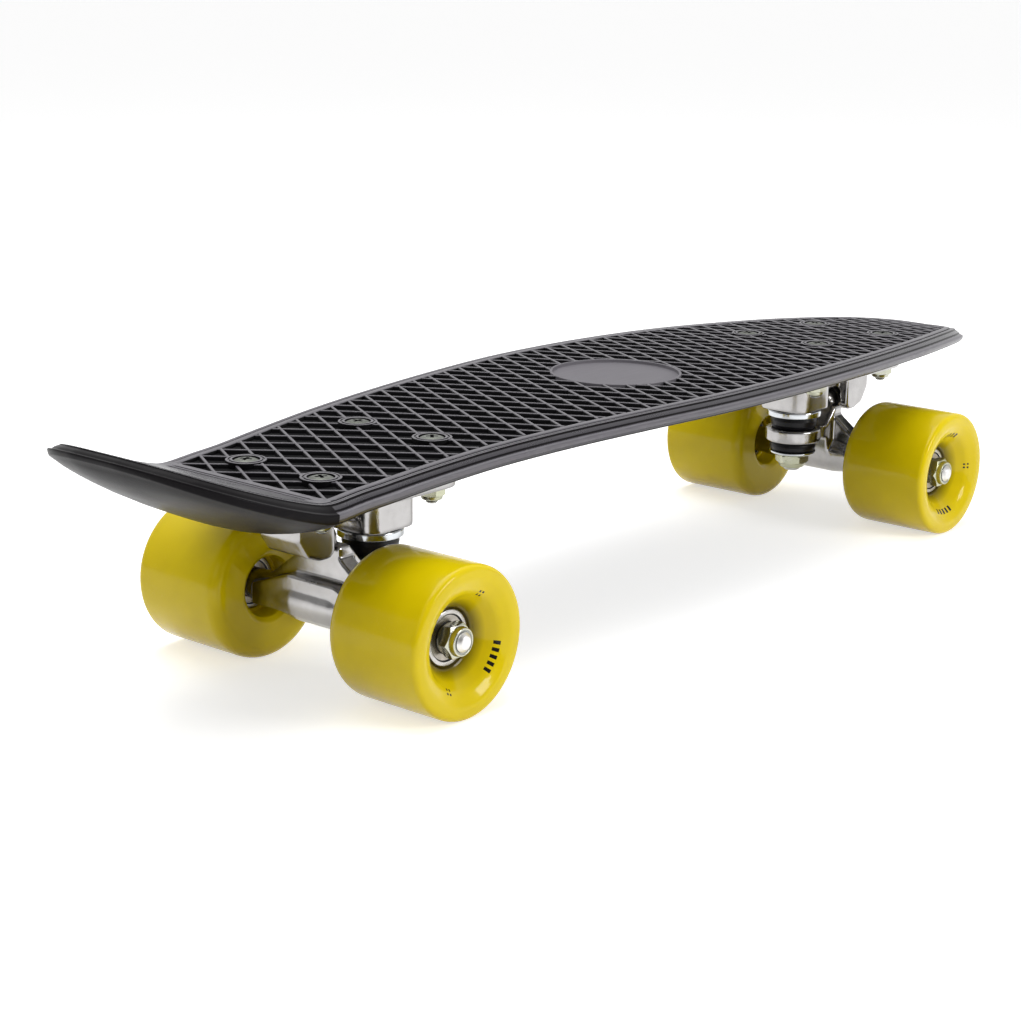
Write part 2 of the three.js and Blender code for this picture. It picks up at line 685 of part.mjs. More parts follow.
// Cast hanger: kingpin ring, arm, stem in the pivot cup, wings and the housing round the axle
function makeHanger() {
  const ring = rod(ringRadius, ringBottom, ringTop, turnedSegments).translate(kingpinOffset, 0, 0);
  const wingPeak = axleHeight + wingTop;
  const armInner = kingpinOffset - ringRadius + armGap * 2;
  const washerEdge = kingpinOffset - cupWasherRadius - armGap;
  const arm = sidePlate([
    [armInner, ringBottom],
    [armInner, ringTop],
    [washerEdge, ringTop],
    [wingThickness / 2, wingPeak + wingOutboard],
    [-wingOutboard, wingPeak + wingOutboard],
    [-wingOutboard, axleHeight],
    [hangerMiddleRadius, axleHeight],
    [washerEdge, ringBottom],
  ], armWidth);
  const housing = turned([
    [0, -hangerHalfWidth - washerThickness],
    [washerRadius, -hangerHalfWidth - washerThickness],
    [washerRadius, -hangerHalfWidth],
    [hangerEndRadius, -hangerHalfWidth],
    [hangerEndRadius, -wingReach],
    [hangerMiddleRadius, -armWidth / 2],
    [hangerMiddleRadius, armWidth / 2],
    [hangerEndRadius, wingReach],
    [hangerEndRadius, hangerHalfWidth],
    [washerRadius, hangerHalfWidth],
    [washerRadius, hangerHalfWidth + washerThickness],
    [0, hangerHalfWidth + washerThickness],
  ], turnedSegments).rotateX(-Math.PI / 2).translate(0, 0, axleHeight);
  const wings = crossPlate([
    [-wingReach, axleHeight],
    [wingReach, axleHeight],
    [wingReach, axleHeight + hangerEndRadius * halfShare],
    [wingTopHalfWidth, wingPeak],
    [-wingTopHalfWidth, wingPeak],
    [-wingReach, axleHeight + hangerEndRadius * halfShare],
  ], -wingOutboard, wingThickness - wingOutboard);
  const web = crossPlate([
    [-wingReach, axleHeight - hangerEndRadius * webBottomShare],
    [wingReach, axleHeight - hangerEndRadius * webBottomShare],
    [wingReach, axleHeight + hangerEndRadius * halfShare],
    [webTopHalfWidth, axleHeight + webTop],
    [-webTopHalfWidth, axleHeight + webTop],
    [-wingReach, axleHeight + hangerEndRadius * halfShare],
  ], -webOutboard, 0);
  const stemRoot = Math.hypot(pivotOffset, pivotHeight - ringCentre) - ringRadius * halfShare;
  const stemTip = pivotCupFloor - pivotCupWall - seatGap;
  const stem = onSteerAxis(turned([
    [0, -stemTip],
    [stemRadius * halfShare, -stemTip],
    [stemRadius, -stemTip * halfShare],
    [stemRadius, pivotBossInner],
    [stemRootRadius, pivotBossInner + pivotBossBevel],
    [stemRootRadius, stemRoot],
    [0, stemRoot],
  ], turnedSegments));
  const axleBore = rod(axleRadius + runningGap, -axleTip, axleTip, bearingSegments).rotateX(-Math.PI / 2);
  const ringHole = rod(ringBore, ringBottom - overrun, ringTop + overrun, turnedSegments);
  const whole = joined([ring, arm, housing, wings, web, stem].map(solidOf));
  return geometryOf(cutAll(whole, [
    solidOf(axleBore.translate(0, 0, axleHeight)),
    solidOf(ringHole.translate(kingpinOffset, 0, 0)),
  ]));
}

// Lays a piece that was made along Z on the axle, with its foot towards the truck's middle
function onAxle(geometry, side, distance) {
  return geometry.rotateX((-side * Math.PI) / 2).translate(0, side * distance, axleHeight);
}

function makeAxle() {
  return turned([
    [0, -axleTip],
    [axleRadius - axleChamfer, -axleTip],
    [axleRadius, axleChamfer - axleTip],
    [axleRadius, axleTip - axleChamfer],
    [axleRadius - axleChamfer, axleTip],
    [0, axleTip],
  ], bearingSegments);
}

// Lock nut with the speed washer under it
function makeAxleNut() {
  const washerBottom = bearingOuter + fitGap;
  const nutBottom = washerBottom + washerThickness;
  const nutTop = nutBottom + axleNutHeight;
  const washer = solidOf(rod(washerRadius, washerBottom, nutBottom, bearingSegments));
  const hex = solidOf(hexRod(axleNutFlats, nutBottom, nutTop));
  const bore = rod(axleRadius + runningGap, washerBottom - overrun, nutTop + overrun, bearingSegments);
  return geometryOf(washer.add(hex).subtract(solidOf(bore)));
}

function makeBearing() {
  const bore = axleRadius + runningGap;
  return turnedRing([
    [bore, 0],
    [bearingRadius, 0],
    [bearingRadius, bearingWidth],
    [bore, bearingWidth],
  ], bearingSegments);
}

function makeSpacer() {
  const bore = axleRadius + runningGap;
  const end = spacerLength / 2 - runningGap;
  return turnedRing([[bore, -end], [spacerRadius, -end], [spacerRadius, end], [bore, end]], bearingSegments);
}

// Quarter of a circle as points of radius and height
function lipArc(startAngle) {
  const points = [];
  for (let step = 0; step <= curveSteps; step += 1) {
    const angle = startAngle + (step / curveSteps) * (Math.PI / 2);
    const height = (wheelWidth / 2 - wheelLip) * Math.sign(startAngle + Math.PI / 4);
    points.push([wheelRadius - wheelLip + wheelLip * Math.cos(angle), height + wheelLip * Math.sin(angle)]);
  }
  return points;
}

// Wheel with its dished outer face up, and two bearing seats divided by a shoulder
function makeWheel() {
  const face = wheelWidth / 2;
  const seat = bearingRadius + runningGap;
  const seatEnd = bearingOuter + runningGap;
  const dishShoulder = [dishRadius - dishShoulderInset, face - dishShoulderDrop];
  return turnedRing([
    [coreBore, -bearingInner],
    [seat, -bearingInner],
    [seat, -seatEnd],
    [innerMouth, -seatEnd],
    [innerMouth, innerMouthFlare - face],
    [innerMouth + innerMouthFlare, -face],
    ...lipArc(-Math.PI / 2),
    ...lipArc(0),
    dishShoulder,
    [dishMouth, seatEnd],
    [seat, seatEnd],
    [seat, bearingInner],
    [coreBore, bearingInner],
  ], wheelSegments);
}

function addWheel(group, label, side) {
  const centre = wheelCentre;
  addPiece(group, `${label}_wheel`, onAxle(makeWheel(), side, centre), 'wheel');
  addPiece(group, `${label}_bearing_outer`, onAxle(makeBearing(), side, centre + bearingInner), 'steel');
  addPiece(group, `${label}_bearing_inner`, onAxle(makeBearing(), side, centre - bearingOuter), 'steel');
  addPiece(group, `${label}_bearing_spacer`, onAxle(makeSpacer(), side, centre), 'steel');
  addPiece(group, `${label}_axle_nut`, onAxle(makeAxleNut(), side, centre), 'zinc');
}

function addTruck(truck) {
  const group = new THREE.Group();
  group.position.x = truck.place;
  group.rotation.z = truck.turn;
  addPiece(group, `${truck.name}_baseplate`, makeBaseplate(truck), 'cast');
  addPiece(group, `${truck.name}_pivot_cup`, makePivotCup(), 'rubber');
  addPiece(group, `${truck.name}_kingpin`, makeKingpin(), 'steel');
  addPiece(group, `${truck.name}_kingpin_nut`, makeKingpinNut(), 'zinc');
  addPiece(group, `${truck.name}_bushing_upper`, makeBushing(ringTop, upperBushingHeight), 'rubber');
  addPiece(group, `${truck.name}_bushing_lower`, makeBushing(lowerWasherTop, lowerBushingHeight), 'rubber');
  addPiece(group, `${truck.name}_cup_washer_upper`, makeCupWasher(upperWasherBottom), 'chrome');
  addPiece(group, `${truck.name}_cup_washer_lower`, makeLowerWasher(lowerWasherTop), 'chrome');
  addPiece(group, `${truck.name}_hanger`, makeHanger(), 'cast');
  addPiece(group, `${truck.name}_axle`, onAxle(makeAxle(), 1, 0), 'steel');
  for (const screw of screwPlaces(truck)) {
    addPiece(group, `${truck.name}_screw_${screw.name}`, makeScrew(screw), 'zinc');
    addPiece(group, `${truck.name}_screw_nut_${screw.name}`, makeScrewNut(screw), 'zinc');
  }
  for (const side of [-1, 1]) {
    const label = side * truck.inward > 0 ? 'left' : 'right';
    addWheel(group, `${truck.name}_${label}`, side);
  }
  board.add(group);
}

addPiece(board, 'deck', geometryOf(makeDeck()), 'deck');
trucks.forEach(addTruck);

export default board;
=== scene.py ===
"""A small plastic cruiser skateboard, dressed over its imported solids.

Lengths are in millimetres until a piece is finished, and in metres in the scene.
"""
import math

import bmesh
import bpy
from mathutils import Matrix, Vector


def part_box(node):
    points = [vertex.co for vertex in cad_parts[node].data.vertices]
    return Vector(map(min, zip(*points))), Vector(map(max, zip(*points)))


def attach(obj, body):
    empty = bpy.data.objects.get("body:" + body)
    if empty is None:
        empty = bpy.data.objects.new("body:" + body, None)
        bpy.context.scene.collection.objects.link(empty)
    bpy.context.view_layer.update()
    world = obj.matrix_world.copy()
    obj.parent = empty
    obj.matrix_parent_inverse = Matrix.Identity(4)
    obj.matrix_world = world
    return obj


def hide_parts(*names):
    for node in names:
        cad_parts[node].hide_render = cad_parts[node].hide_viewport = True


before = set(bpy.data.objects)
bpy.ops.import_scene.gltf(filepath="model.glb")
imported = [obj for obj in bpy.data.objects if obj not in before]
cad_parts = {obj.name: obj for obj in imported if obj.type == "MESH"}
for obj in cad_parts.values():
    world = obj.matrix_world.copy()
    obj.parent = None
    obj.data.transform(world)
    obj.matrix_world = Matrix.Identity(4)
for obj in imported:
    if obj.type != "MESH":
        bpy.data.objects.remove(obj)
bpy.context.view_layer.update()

MM = 0.001

# Corners nearer than this are one
PIECE_MERGE = 0.004
TURN_MERGE = 0.002

# Deck, from the same shares as the solid
DECK_LENGTH = 589
DECK_WIDTH = 141
CROWN_HEIGHT = 95.6
ARCH_DROP = 19
KICK_LENGTH = 70
KICK_RISE = 26
KICK_START_ANGLE = 16
KICK_BLEND = 2.5
NOSE_TIP_WIDTH = 5
SHOULDER_DROP = 3.5
SKIRT_HEIGHT = 3.6
SKIRT_THINNING = 0.5
BELLY_DEPTH = 10.5
BELLY_ROUNDING = 6
PANEL_THICKNESS = 5
LIP_INSET = 16
LIP_DRAFT = 0.6
HOLLOW_NOSE_MARGIN = 34
HOLLOW_KICK_MARGIN = 8
RIB_THICKNESS = 3
RIB_DEPTH = 5
RIB_SPACING = 26
CROSS_RIBS = 5
PLATE_CENTRE = 0.2
PLATE_RADIUS = 28.2
PLATE_DEPTH = 1.6
PLATE_RING = 1.2

# Shares of half the deck's length, with shares of its half width, its arch's drop and its belly
PLAN_SHARES = [
    (-1, 0.17), (-0.992, 0.34), (-0.977, 0.47), (-0.95, 0.575), (-0.905, 0.66), (-0.84, 0.705),
    (-0.762, 0.712), (-0.66, 0.722), (-0.508, 0.778), (-0.355, 0.85), (-0.202, 0.925),
    (-0.049, 0.987), (0.08, 1), (0.205, 0.983), (0.358, 0.925), (0.511, 0.826), (0.664, 0.698),
    (0.817, 0.523), (0.918, 0.354), (0.969, 0.215), (0.993, 0.1),
    (1, NOSE_TIP_WIDTH / DECK_WIDTH),
]
ARCH_SHARES = [
    (-1, 1.3), (-0.762, 0.56), (-0.66, 0.38), (-0.559, 0.232), (-0.457, 0.121), (-0.321, 0.045),
    (-0.151, 0.005), (0.019, 0), (0.188, 0.025), (0.358, 0.08), (0.528, 0.18), (0.681, 0.3),
    (0.817, 0.452), (0.918, 0.645), (0.969, 0.82), (1, 0.95),
]
BELLY_SHARES = [
    (-1, 0.15), (-0.95, 0.6), (-0.85, 0.9), (-0.76, 1), (-0.6, 0.75), (0.6, 0.75), (0.85, 0.6),
    (1, 0.1),
]

# Waffle on the deck's top: both sets of lines are numbered from the kick's bend, and the first set's
# ribs lie a hair lower, so that no two faces share a plane
WAFFLE_DEPTH = 1.6
WAFFLE_PITCH = 10.65
WAFFLE_ANGLE = 61.5
WAFFLE_SHIFT = 14.4
WAFFLE_LINES = range(-6, 56)
WAFFLE_STEP = 6
CROSSING_SINK = 0.015
RUN_STEP = 0.4
SHORTEST_RUN = 1
BORDER_INSET = 10.5
BORDER_OVERLAP = 0.3
FIELD_MARGIN = 3

# Sections of the bars on the deck: offset across and height
WAFFLE_PROFILE = [
    (-0.85, -1.65), (-0.62, -0.3), (-0.44, -0.05), (0, 0), (0.44, -0.05), (0.62, -0.3), (0.85, -1.65),
]
FIELD_END_PROFILE = [
    (-3, -0.6), (-2.9, 0), (-0.5, 0), (-0.15, -0.1), (0.02, -0.4), (0.1, -WAFFLE_DEPTH - 0.05),
]
BEAD_PROFILE = [(-0.8, -0.4), (-0.5, 0.25), (-0.25, 0.4), (0.25, 0.4), (0.5, 0.25), (0.8, -0.4)]
CROSS_STEPS = 12
FIELD_END_OVERLAP = 1.5
FIELD_END_RISE = 0.03

# Two beads across the deck: distance past the kick's bend, reach into the rim and dip of their ends
BEAD_LINES = (0.6, 3.6)
BEAD_OVERLAP = 3.5
BEAD_END_DROP = 0.8

# Rim of the deck from the waffle's border outwards: distance from the outline and drop below the top
BORDER_ROWS = [
    (BORDER_INSET, WAFFLE_DEPTH), (10.35, 0.3), (10.1, 0.06), (9.8, 0), (7.9, 0), (7.65, 0.08),
    (7.45, 0.4), (7.3, 0.95), (6.7, 0.95),
]
SHOULDER_ROWS = [
    (6.45, 0.4), (6.2, 0.2), (5.6, 0.2), (5.15, 0.5), (5.0, 0.3), (4.6, 0.36), (4.45, 0.75),
    (4.0, 1.05), (3.2, 1.5), (2.4, 2.1), (1.85, 2.7), (1.6, 2.95), (1.05, 3.1), (0.5, 3.2),
    (0.2, 3.4), (0.04, 3.7), (0.02, 4.1),
]
SKIRT_ROWS = [(0.15, 5.2), (0.35, 6.3), (0.6, 6.8), (1.1, 7.1)]
BELLY_INSETS = [2, 3.5, 5.5, 8, 11, 14, 16]
INNER_SHARES = [0, 0.3, 0.6, 0.85]
COLUMN_SPACING = 2.5

# Finishes of the deck's shell, and those of the spans between the points of its section. A span that
# isn't named is moulded. Sunken spans are painted near black as shade in the waffle's floor and the
# rim's groove; pale spans are painted lighter as sheen and highlight on the border, a bead, a ridge
# and a ledge of the rim; shaded spans take a darker copy of the plastic as painted shade on the rim's
# slopes, the skirt and the underside. On the kick the drops below the top tell its face, rim and back
# apart, and its rim and back are painted shade.
MOULDED, SUNKEN_SHADE, SHADED, PALE_SHEEN = range(4)
SPAN_FINISHES = {
    **dict.fromkeys((0, 1, 2, 3, 4, 10, 11), SUNKEN_SHADE),
    **dict.fromkeys((18, 19, 22, *range(31, 45)), SHADED),
    **dict.fromkeys((5, 6, 7, 8, 9, 13, 14, 16, 17, *range(24, 30)), PALE_SHEEN),
}
KICK_FACE_DROP = 1
KICK_RIM_DROP = 0.7

# Underside
LANE_STEPS = 48
PAD_STEPS = 12
PAD_CORNER = 8

# Collars and screws
COLLAR_RADIUS = 8
COLLAR_RISE = 0.4
COLLAR_OVERLAP = 0.6
HEAD_RADIUS = 5
HEAD_HEIGHT = 2.6
HEAD_RISE = 0.5
HEAD_TURNS = {"tail": (23, 60, 97, 134), "nose": (73, 110, 147, 184)}
SHANK_RADIUS = 2.35

# Cross recess of a screw: its size, and the radius and height over the solid that its faces stay within
CROSS_LENGTH = 5.8
CROSS_WIDTH = 1.5
CROSS_DEPTH = 2.3
CROSS_RADIUS = 2.95
CROSS_TOP = 0.7

# Wheels and bearings, with the outer face up: radius, height and fillet
WHEEL_PROFILE = [
    (8.2, -5, 0), (11.15, -5, 0), (11.15, -12.15, 0), (12.6, -12.15, 0.5), (12.6, -21.4, 1),
    (14.8, -23, 2.5), (30, -23, 6.2), (30, 23, 6.4), (24.4, 23, 7), (19.4, 20.7, 9),
    (12.7, 12.6, 0.8), (11.9, 12.15, 0.2), (11.5, 11.2, 0), (11.15, 11, 0), (11.15, 5, 0), (8.2, 5, 0),
]
BEARING_PROFILE = [
    (4.15, 0, 0.3), (5.9, 0, 0.2), (5.9, 0.5, 0), (9.2, 0.5, 0), (9.2, 0, 0.2), (11, 0, 0.5),
    (11, 7, 0.5), (9.2, 7, 0.2), (9.2, 6.5, 0), (8.7, 6.35, 0.2), (6.3, 6.35, 0.2), (5.9, 6.5, 0),
    (5.9, 7, 0.2), (4.15, 7, 0.3),
]
BEARING_SEAT = 5
# Radii of the two gaps beside the shield, painted black as shade, then of the shield itself
BEARING_SHADE_GAPS = ((5.85, 6.3), (8.75, 9.3))
BEARING_SHIELD = (6, 9)
AXLE_RADIUS = 3.95
AXLE_TIP = 1.4
AXLE_NUT_HEX = 4.6
KINGPIN_HEAD = 5
NUT_SLOPE = 0.75

# Dashes printed on a wheel: middle and half length as shares of a turn, number of dashes, and rows
MARKS = [(0.07, 0.058, 5, 1), (0.57, 0.058, 5, 1), (0.33, 0.014, 2, 2), (0.83, 0.014, 2, 2)]
MARK_RADIUS = 19.2
MARK_REACH = 1.1
MARK_ROW_GAP = 0.35
MARK_BEAT = (0.2, 0.72)
MARK_SPINS = {"tail": -55, "nose": -117}

# Map of a wheel: faces outside its dish are put at the map's foot, below any radius
MAP_SCALE = 0.01
MAP_FOOT = (0.5, 0)
LEAST_RADIUS = 5
DISH_FLOOR = 11
DISH_RADII = (11, 24)
# Radii over which the dish is painted darker towards the bearing, as painted shade
WELL_SHADE_RADII = (11.8, 16)

# Castings are copies of their solids, remeshed and worn smooth
CAST_VOXEL = 0.62
CAST_SMOOTHING = 16
CAST_MERGE = 1e-6

# Camera and light, in metres and degrees
CAMERA_PLACE = (-0.7538, -0.5775, 0.2842)
CAMERA_AZIMUTH = -49.78
CAMERA_ELEVATION = 14.95
CAMERA_ROLL = 0.79
CAMERA_LENS = 76.42
CAMERA_SENSOR = 36
CAMERA_CLIP = (0.05, 100)
WORLD_LIGHT = 0.38
BACKDROP_SIDE = (0.7377, 0.6239, 0)
BACKDROP_BLEND = (-0.35, 0.45)
REFLECTED_FRONT = 0.16
FLOOR_HALF = 20
FLOOR_COLOUR = (0.93, 0.93, 0.93, 1)
FLOOR_GLOW = (0.58, 0.58, 0.58, 1)

# Lamps: name, place, aim, size and watts
LAMPS = [
    ("overhead_softbox", (-0.1, 0.15, 1.3), (0, 0, 0.05), (1.4, 1.0), 12),
    ("side_softbox", (-1.3, -0.2, 0.8), (0, 0, 0.05), (0.7, 0.9), 1),
    ("wheel_softbox", (0.35, -1.3, 0.55), (0, 0, 0.04), (0.5, 0.4), 7),
]

# Sockets of a Mix node for colours: its share, its two colours and its result
MIX_SHARE, MIX_FIRST, MIX_SECOND, MIX_RESULT = 0, 6, 7, 2


# Shader maths

class Value:
    """A socket whose sums and products become Math nodes."""

    def __init__(self, web, socket):
        self.web = web
        self.socket = socket

    def maths(self, operation, *others):
        return self.web.node("ShaderNodeMath", {"operation": operation}, (self, *others))

    def __add__(self, other):
        return self.maths("ADD", other)

    def __sub__(self, other):
        return self.maths("SUBTRACT", other)

    def __rsub__(self, other):
        return self.web.node("ShaderNodeMath", {"operation": "SUBTRACT"}, (other, self))

    def __mul__(self, other):
        return self.maths("MULTIPLY", other)

    def __gt__(self, other):
        return self.maths("GREATER_THAN", other)

    def __lt__(self, other):
        return self.maths("LESS_THAN", other)

    def __abs__(self):
        return self.maths("ABSOLUTE")


class Web:
    """The nodes of a material or a world, whose main shader takes what is fed to it."""

    def __init__(self, block, shader):
        block.use_nodes = True
        self.tree = block.node_tree
        self.shader = self.tree.nodes[shader]

    def node(self, kind, settings=None, inputs=(), output=0):
        made = self.tree.nodes.new(kind)
        for key, value in (settings or {}).items():
            setattr(made, key, value)
        pairs = inputs.items() if isinstance(inputs, dict) else enumerate(inputs)
        for key, value in pairs:
            if isinstance(value, Value):
                self.tree.links.new(value.socket, made.inputs[key])
            else:
                made.inputs[key].default_value = value
        return Value(self, made.outputs[output])

    def feed(self, key, value):
        self.tree.links.new(value.socket, self.shader.inputs[key])

    def between(self, value, low, high, to_low=0, to_high=1):
        return self.node("ShaderNodeMapRange", {"clamp": True}, (value, low, high, to_low, to_high))

    def seen_rays(self):
        """One for rays to the camera, and one for reflections and what is seen through glass."""
        camera = self.node("ShaderNodeLightPath", output="Is Camera Ray")
        glossy = self.node("ShaderNodeLightPath", output="Is Glossy Ray")
        through = self.node("ShaderNodeLightPath", output="Is Transmission Ray")
        return camera, glossy.maths("MAXIMUM", through)


class Finish(Web):
    """A material: fixed values go on the shader's own sockets and changing ones are fed to it."""

    def __init__(self, name, fixed):
        self.material = bpy.data.materials.new(name)
        super().__init__(self.material, "Principled BSDF")
        for key, value in fixed.items():
            self.shader.inputs[key].default_value = value

    def place(self, scale=(1, 1, 1), source="Object"):
        coordinates = self.node("ShaderNodeTexCoord", output=source)
        return self.node("ShaderNodeMapping", {}, {"Vector": coordinates, "Scale": scale})

    def noise(self, place, scale, detail=3, roughness=0.55):
        sockets = {"Vector": place, "Scale": scale, "Detail": detail, "Roughness": roughness}
        return self.node("ShaderNodeTexNoise", {}, sockets)

    def colours(self, share, first, second):
        sockets = {MIX_SHARE: share, MIX_FIRST: first, MIX_SECOND: second}
        return self.node("ShaderNodeMix", {"data_type": "RGBA"}, sockets, MIX_RESULT)

    def bumped(self, height, strength, distance):
        sockets = {"Strength": strength, "Distance": distance, "Height": height}
        self.feed("Normal", self.node("ShaderNodeBump", {}, sockets))


METAL = {"Metallic": 1.0}


def plastic_finish(name, dark, light, roughness, grain, shine=0.5):
    finish = Finish(name, {"Specular IOR Level": shine})
    place = finish.place()
    cloud = finish.noise(place, 38, 4)
    speck = finish.noise(place, 1900, 2)
    rub = finish.noise(finish.place((60, 900, 900)), 1, 3)
    scuff = finish.between(rub * 0.6 + cloud * 0.4, 0.5, 0.72)
    finish.feed("Base Color", finish.colours(scuff, dark, light))
    wear = cloud + speck * 0.3
    finish.feed("Roughness", finish.between(wear, 0.35, 0.95, roughness - 0.05, roughness + 0.1))
    finish.bumped(speck + rub * 0.5, grain, 0.0002)
    return finish.material


def metal_finish(name, first, second, roughness, spread, grain):
    finish = Finish(name, METAL)
    place = finish.place()
    cloud = finish.noise(place, 45, 3)
    stain = finish.noise(place, 210, 4, 0.6)
    fine = finish.noise(place, 2600, 2)
    tone = finish.between(cloud * 0.7 + stain * 0.3, 0.36, 0.66)
    finish.feed("Base Color", finish.colours(tone, first, second))
    wear = cloud + stain * 0.3 + fine * 0.2
    finish.feed("Roughness", finish.between(wear, 0.5, 1, roughness, roughness + spread))
    finish.bumped(cloud * 3 + stain * 0.3 + fine * 0.05, grain, 0.0006)
    return finish.material


def turned_finish(name, first, second, roughness, spread, ring_scale, grain):
    """Metal with fine rings, read from the turned pieces' own map."""
    finish = Finish(name, METAL)
    along = finish.node("ShaderNodeSeparateXYZ", {}, (finish.place(source="UV"),), output=1)
    sockets = {"W": along, "Scale": ring_scale}
    rings = finish.node("ShaderNodeTexNoise", {"noise_dimensions": "1D"}, sockets)
    stain = finish.noise(finish.place(), 260, 4)
    finish.feed("Base Color", finish.colours(finish.between(stain, 0.35, 0.65), first, second))
    wear = rings + stain * 0.4
    finish.feed("Roughness", finish.between(wear, 0.4, 0.95, roughness, roughness + spread))
    finish.bumped(rings, grain, 0.0001)
    return finish.material


def thread_finish(name, axis, pitch, first, second):
    """Metal with a thread along one axis of the piece, its grooves painted darker and crests lighter as
    shade and highlight.
    """
    finish = Finish(name, METAL)
    place = finish.place()
    along = finish.node("ShaderNodeSeparateXYZ", {}, (place,), output=axis)
    wave = (along * (2 * math.pi / (pitch * MM))).maths("SINE")
    stain = finish.noise(place, 300, 4)
    # Painted shade and highlight: colour darker in the grooves and lighter on the crests, in step with
    # the bump
    finish.feed("Base Color", finish.colours(finish.between(wave + stain, -0.4, 1.2), first, second))
    finish.feed("Roughness", finish.between(stain, 0.35, 0.7, 0.22, 0.42))
    finish.bumped(wave, 0.9, 0.0003)
    return finish.material


def urethane_finish(name, colour, deep):
    finish = Finish(name, {
        "Specular IOR Level": 0.08, "Coat Weight": 0.3, "Coat Roughness": 0.05,
        "Subsurface Weight": 0.1, "Subsurface Radius": (0.004, 0.003, 0.0006), "Subsurface Scale": 1.0,
    })
    place = finish.place()
    cloud = finish.noise(place, 30, 3)
    fine = finish.noise(place, 900, 3)
    tint = finish.colours(finish.between(cloud, 0.35, 0.7), colour, deep)
    marks, well_shade = print_marks_and_well_shade(finish)
    # Painted shade: the dish is coloured darker towards the bearing
    shaded = finish.colours(well_shade, tint, (0.07, 0.05, 0.002, 1))
    finish.feed("Base Color", finish.colours(marks, shaded, (0.012, 0.011, 0.008, 1)))
    finish.feed("Roughness", finish.between(fine + cloud * 0.5, 0.45, 1.05, 0.17, 0.3))
    finish.bumped(fine + cloud, 0.12, 0.0002)
    return finish.material


def print_marks_and_well_shade(finish):
    """Plain dashes printed round the dish, and the share of painted shade that darkens it near the
    bearing, from the wheel's map.
    """
    split = finish.place(source="UV")
    angle = finish.node("ShaderNodeSeparateXYZ", {}, (split,), output=0)
    radius = finish.node("ShaderNodeSeparateXYZ", {}, (split,), output=1)
    masks = []
    for centre, half_arc, count, rows in MARKS:
        near = abs(angle - centre) < half_arc
        beat = ((angle - centre) * (count / (2 * half_arc)) + count / 2).maths("FRACT")
        dash = (beat > MARK_BEAT[0]) * (beat < MARK_BEAT[1])
        inside = radius > (MARK_RADIUS - MARK_REACH) * MAP_SCALE
        band = inside * (radius < (MARK_RADIUS + MARK_REACH) * MAP_SCALE)
        if rows == 2:
            band = band * (abs(radius - MARK_RADIUS * MAP_SCALE) > MARK_ROW_GAP * MAP_SCALE)
        masks.append(near * dash * band)
    deep, shallow = (reach * MAP_SCALE for reach in WELL_SHADE_RADII)
    well_shade = (radius > LEAST_RADIUS * MAP_SCALE) * finish.between(radius, deep, shallow, 1, 0)
    return sum(masks[1:], masks[0]), well_shade


# Shapes

def catmull(shares, across, steps):
    """Smooth curve through shares of half the deck's length and of another size, in millimetres."""
    points = [Vector((along * DECK_LENGTH / 2, share * across)) for along, share in shares]
    curve = []
    for index in range(len(points) - 1):
        before, start, end, after = (
            points[max(min(index + offset, len(points) - 1), 0)] for offset in (-1, 0, 1, 2)
        )
        first, second = (end - before) / 2, (after - start) / 2
        for step in range(steps):
            t = step / steps
            cube = (2 * start - 2 * end + first + second) * t ** 3
            square = (-3 * start + 3 * end - 2 * first - second) * t ** 2
            curve.append(cube + square + first * t + start)
    return curve + [points[-1]]


def along_curve(curve, place):
    """Value of a curve at one place along it."""
    index = 1
    while index < len(curve) - 1 and curve[index].x < place:
        index += 1
    before, after = curve[index - 1], curve[index]
    return before.y + (after.y - before.y) * (place - before.x) / (after.x - before.x)


PLAN = catmull(PLAN_SHARES, DECK_WIDTH / 2, 8)
ARCH = catmull(ARCH_SHARES, ARCH_DROP, 8)
BELLY = catmull(BELLY_SHARES, 1, 4)
BEND = KICK_LENGTH - DECK_LENGTH / 2
FIELD_START = BEND + FIELD_MARGIN


def deck_top(place):
    """Height of the deck's top along its middle line."""
    arch = CROWN_HEIGHT - along_curve(ARCH, place)
    bend_height = CROWN_HEIGHT - along_curve(ARCH, BEND)
    along = (BEND - place) / KICK_LENGTH
    straight = KICK_LENGTH * math.tan(math.radians(KICK_START_ANGLE))
    kick = bend_height + straight * along + (KICK_RISE - straight) * max(along, 0) ** 2
    return (kick + arch + math.hypot(kick - arch, KICK_BLEND)) / 2


def outline_columns():
    """Evenly spaced points round half the outline, tail to nose, each with its inward direction."""
    half = DECK_LENGTH / 2
    corners = [Vector((-half, 0)), *PLAN, Vector((half, 0))]
    points, left_over = [corners[0]], 0.0
    for start, end in zip(corners, corners[1:]):
        length = (end - start).length
        travel = COLUMN_SPACING - left_over
        while travel < length:
            points.append(start.lerp(end, travel / length))
            travel += COLUMN_SPACING
        left_over = length - (travel - COLUMN_SPACING)
    points.append(corners[-1])
    columns = []
    for index, point in enumerate(points):
        before, after = points[max(index - 1, 0)], points[min(index + 1, len(points) - 1)]
        tangent = (after - before).normalized()
        inward = Vector((tangent.y, -tangent.x))
        if index in (0, len(points) - 1):
            inward = Vector((-math.copysign(1, point.x), 0))
        columns.append((point, inward))
    return columns


COLUMNS = outline_columns()


def inset(column, distance):
    """Place at a distance inside the outline, but not past the middle line."""
    point, inward = column
    moved = point + inward * distance
    return Vector((moved.x, max(moved.y, 0)))


FIELD_EDGE = sorted((inset(column, BORDER_INSET) for column in COLUMNS), key=lambda point: point.x)


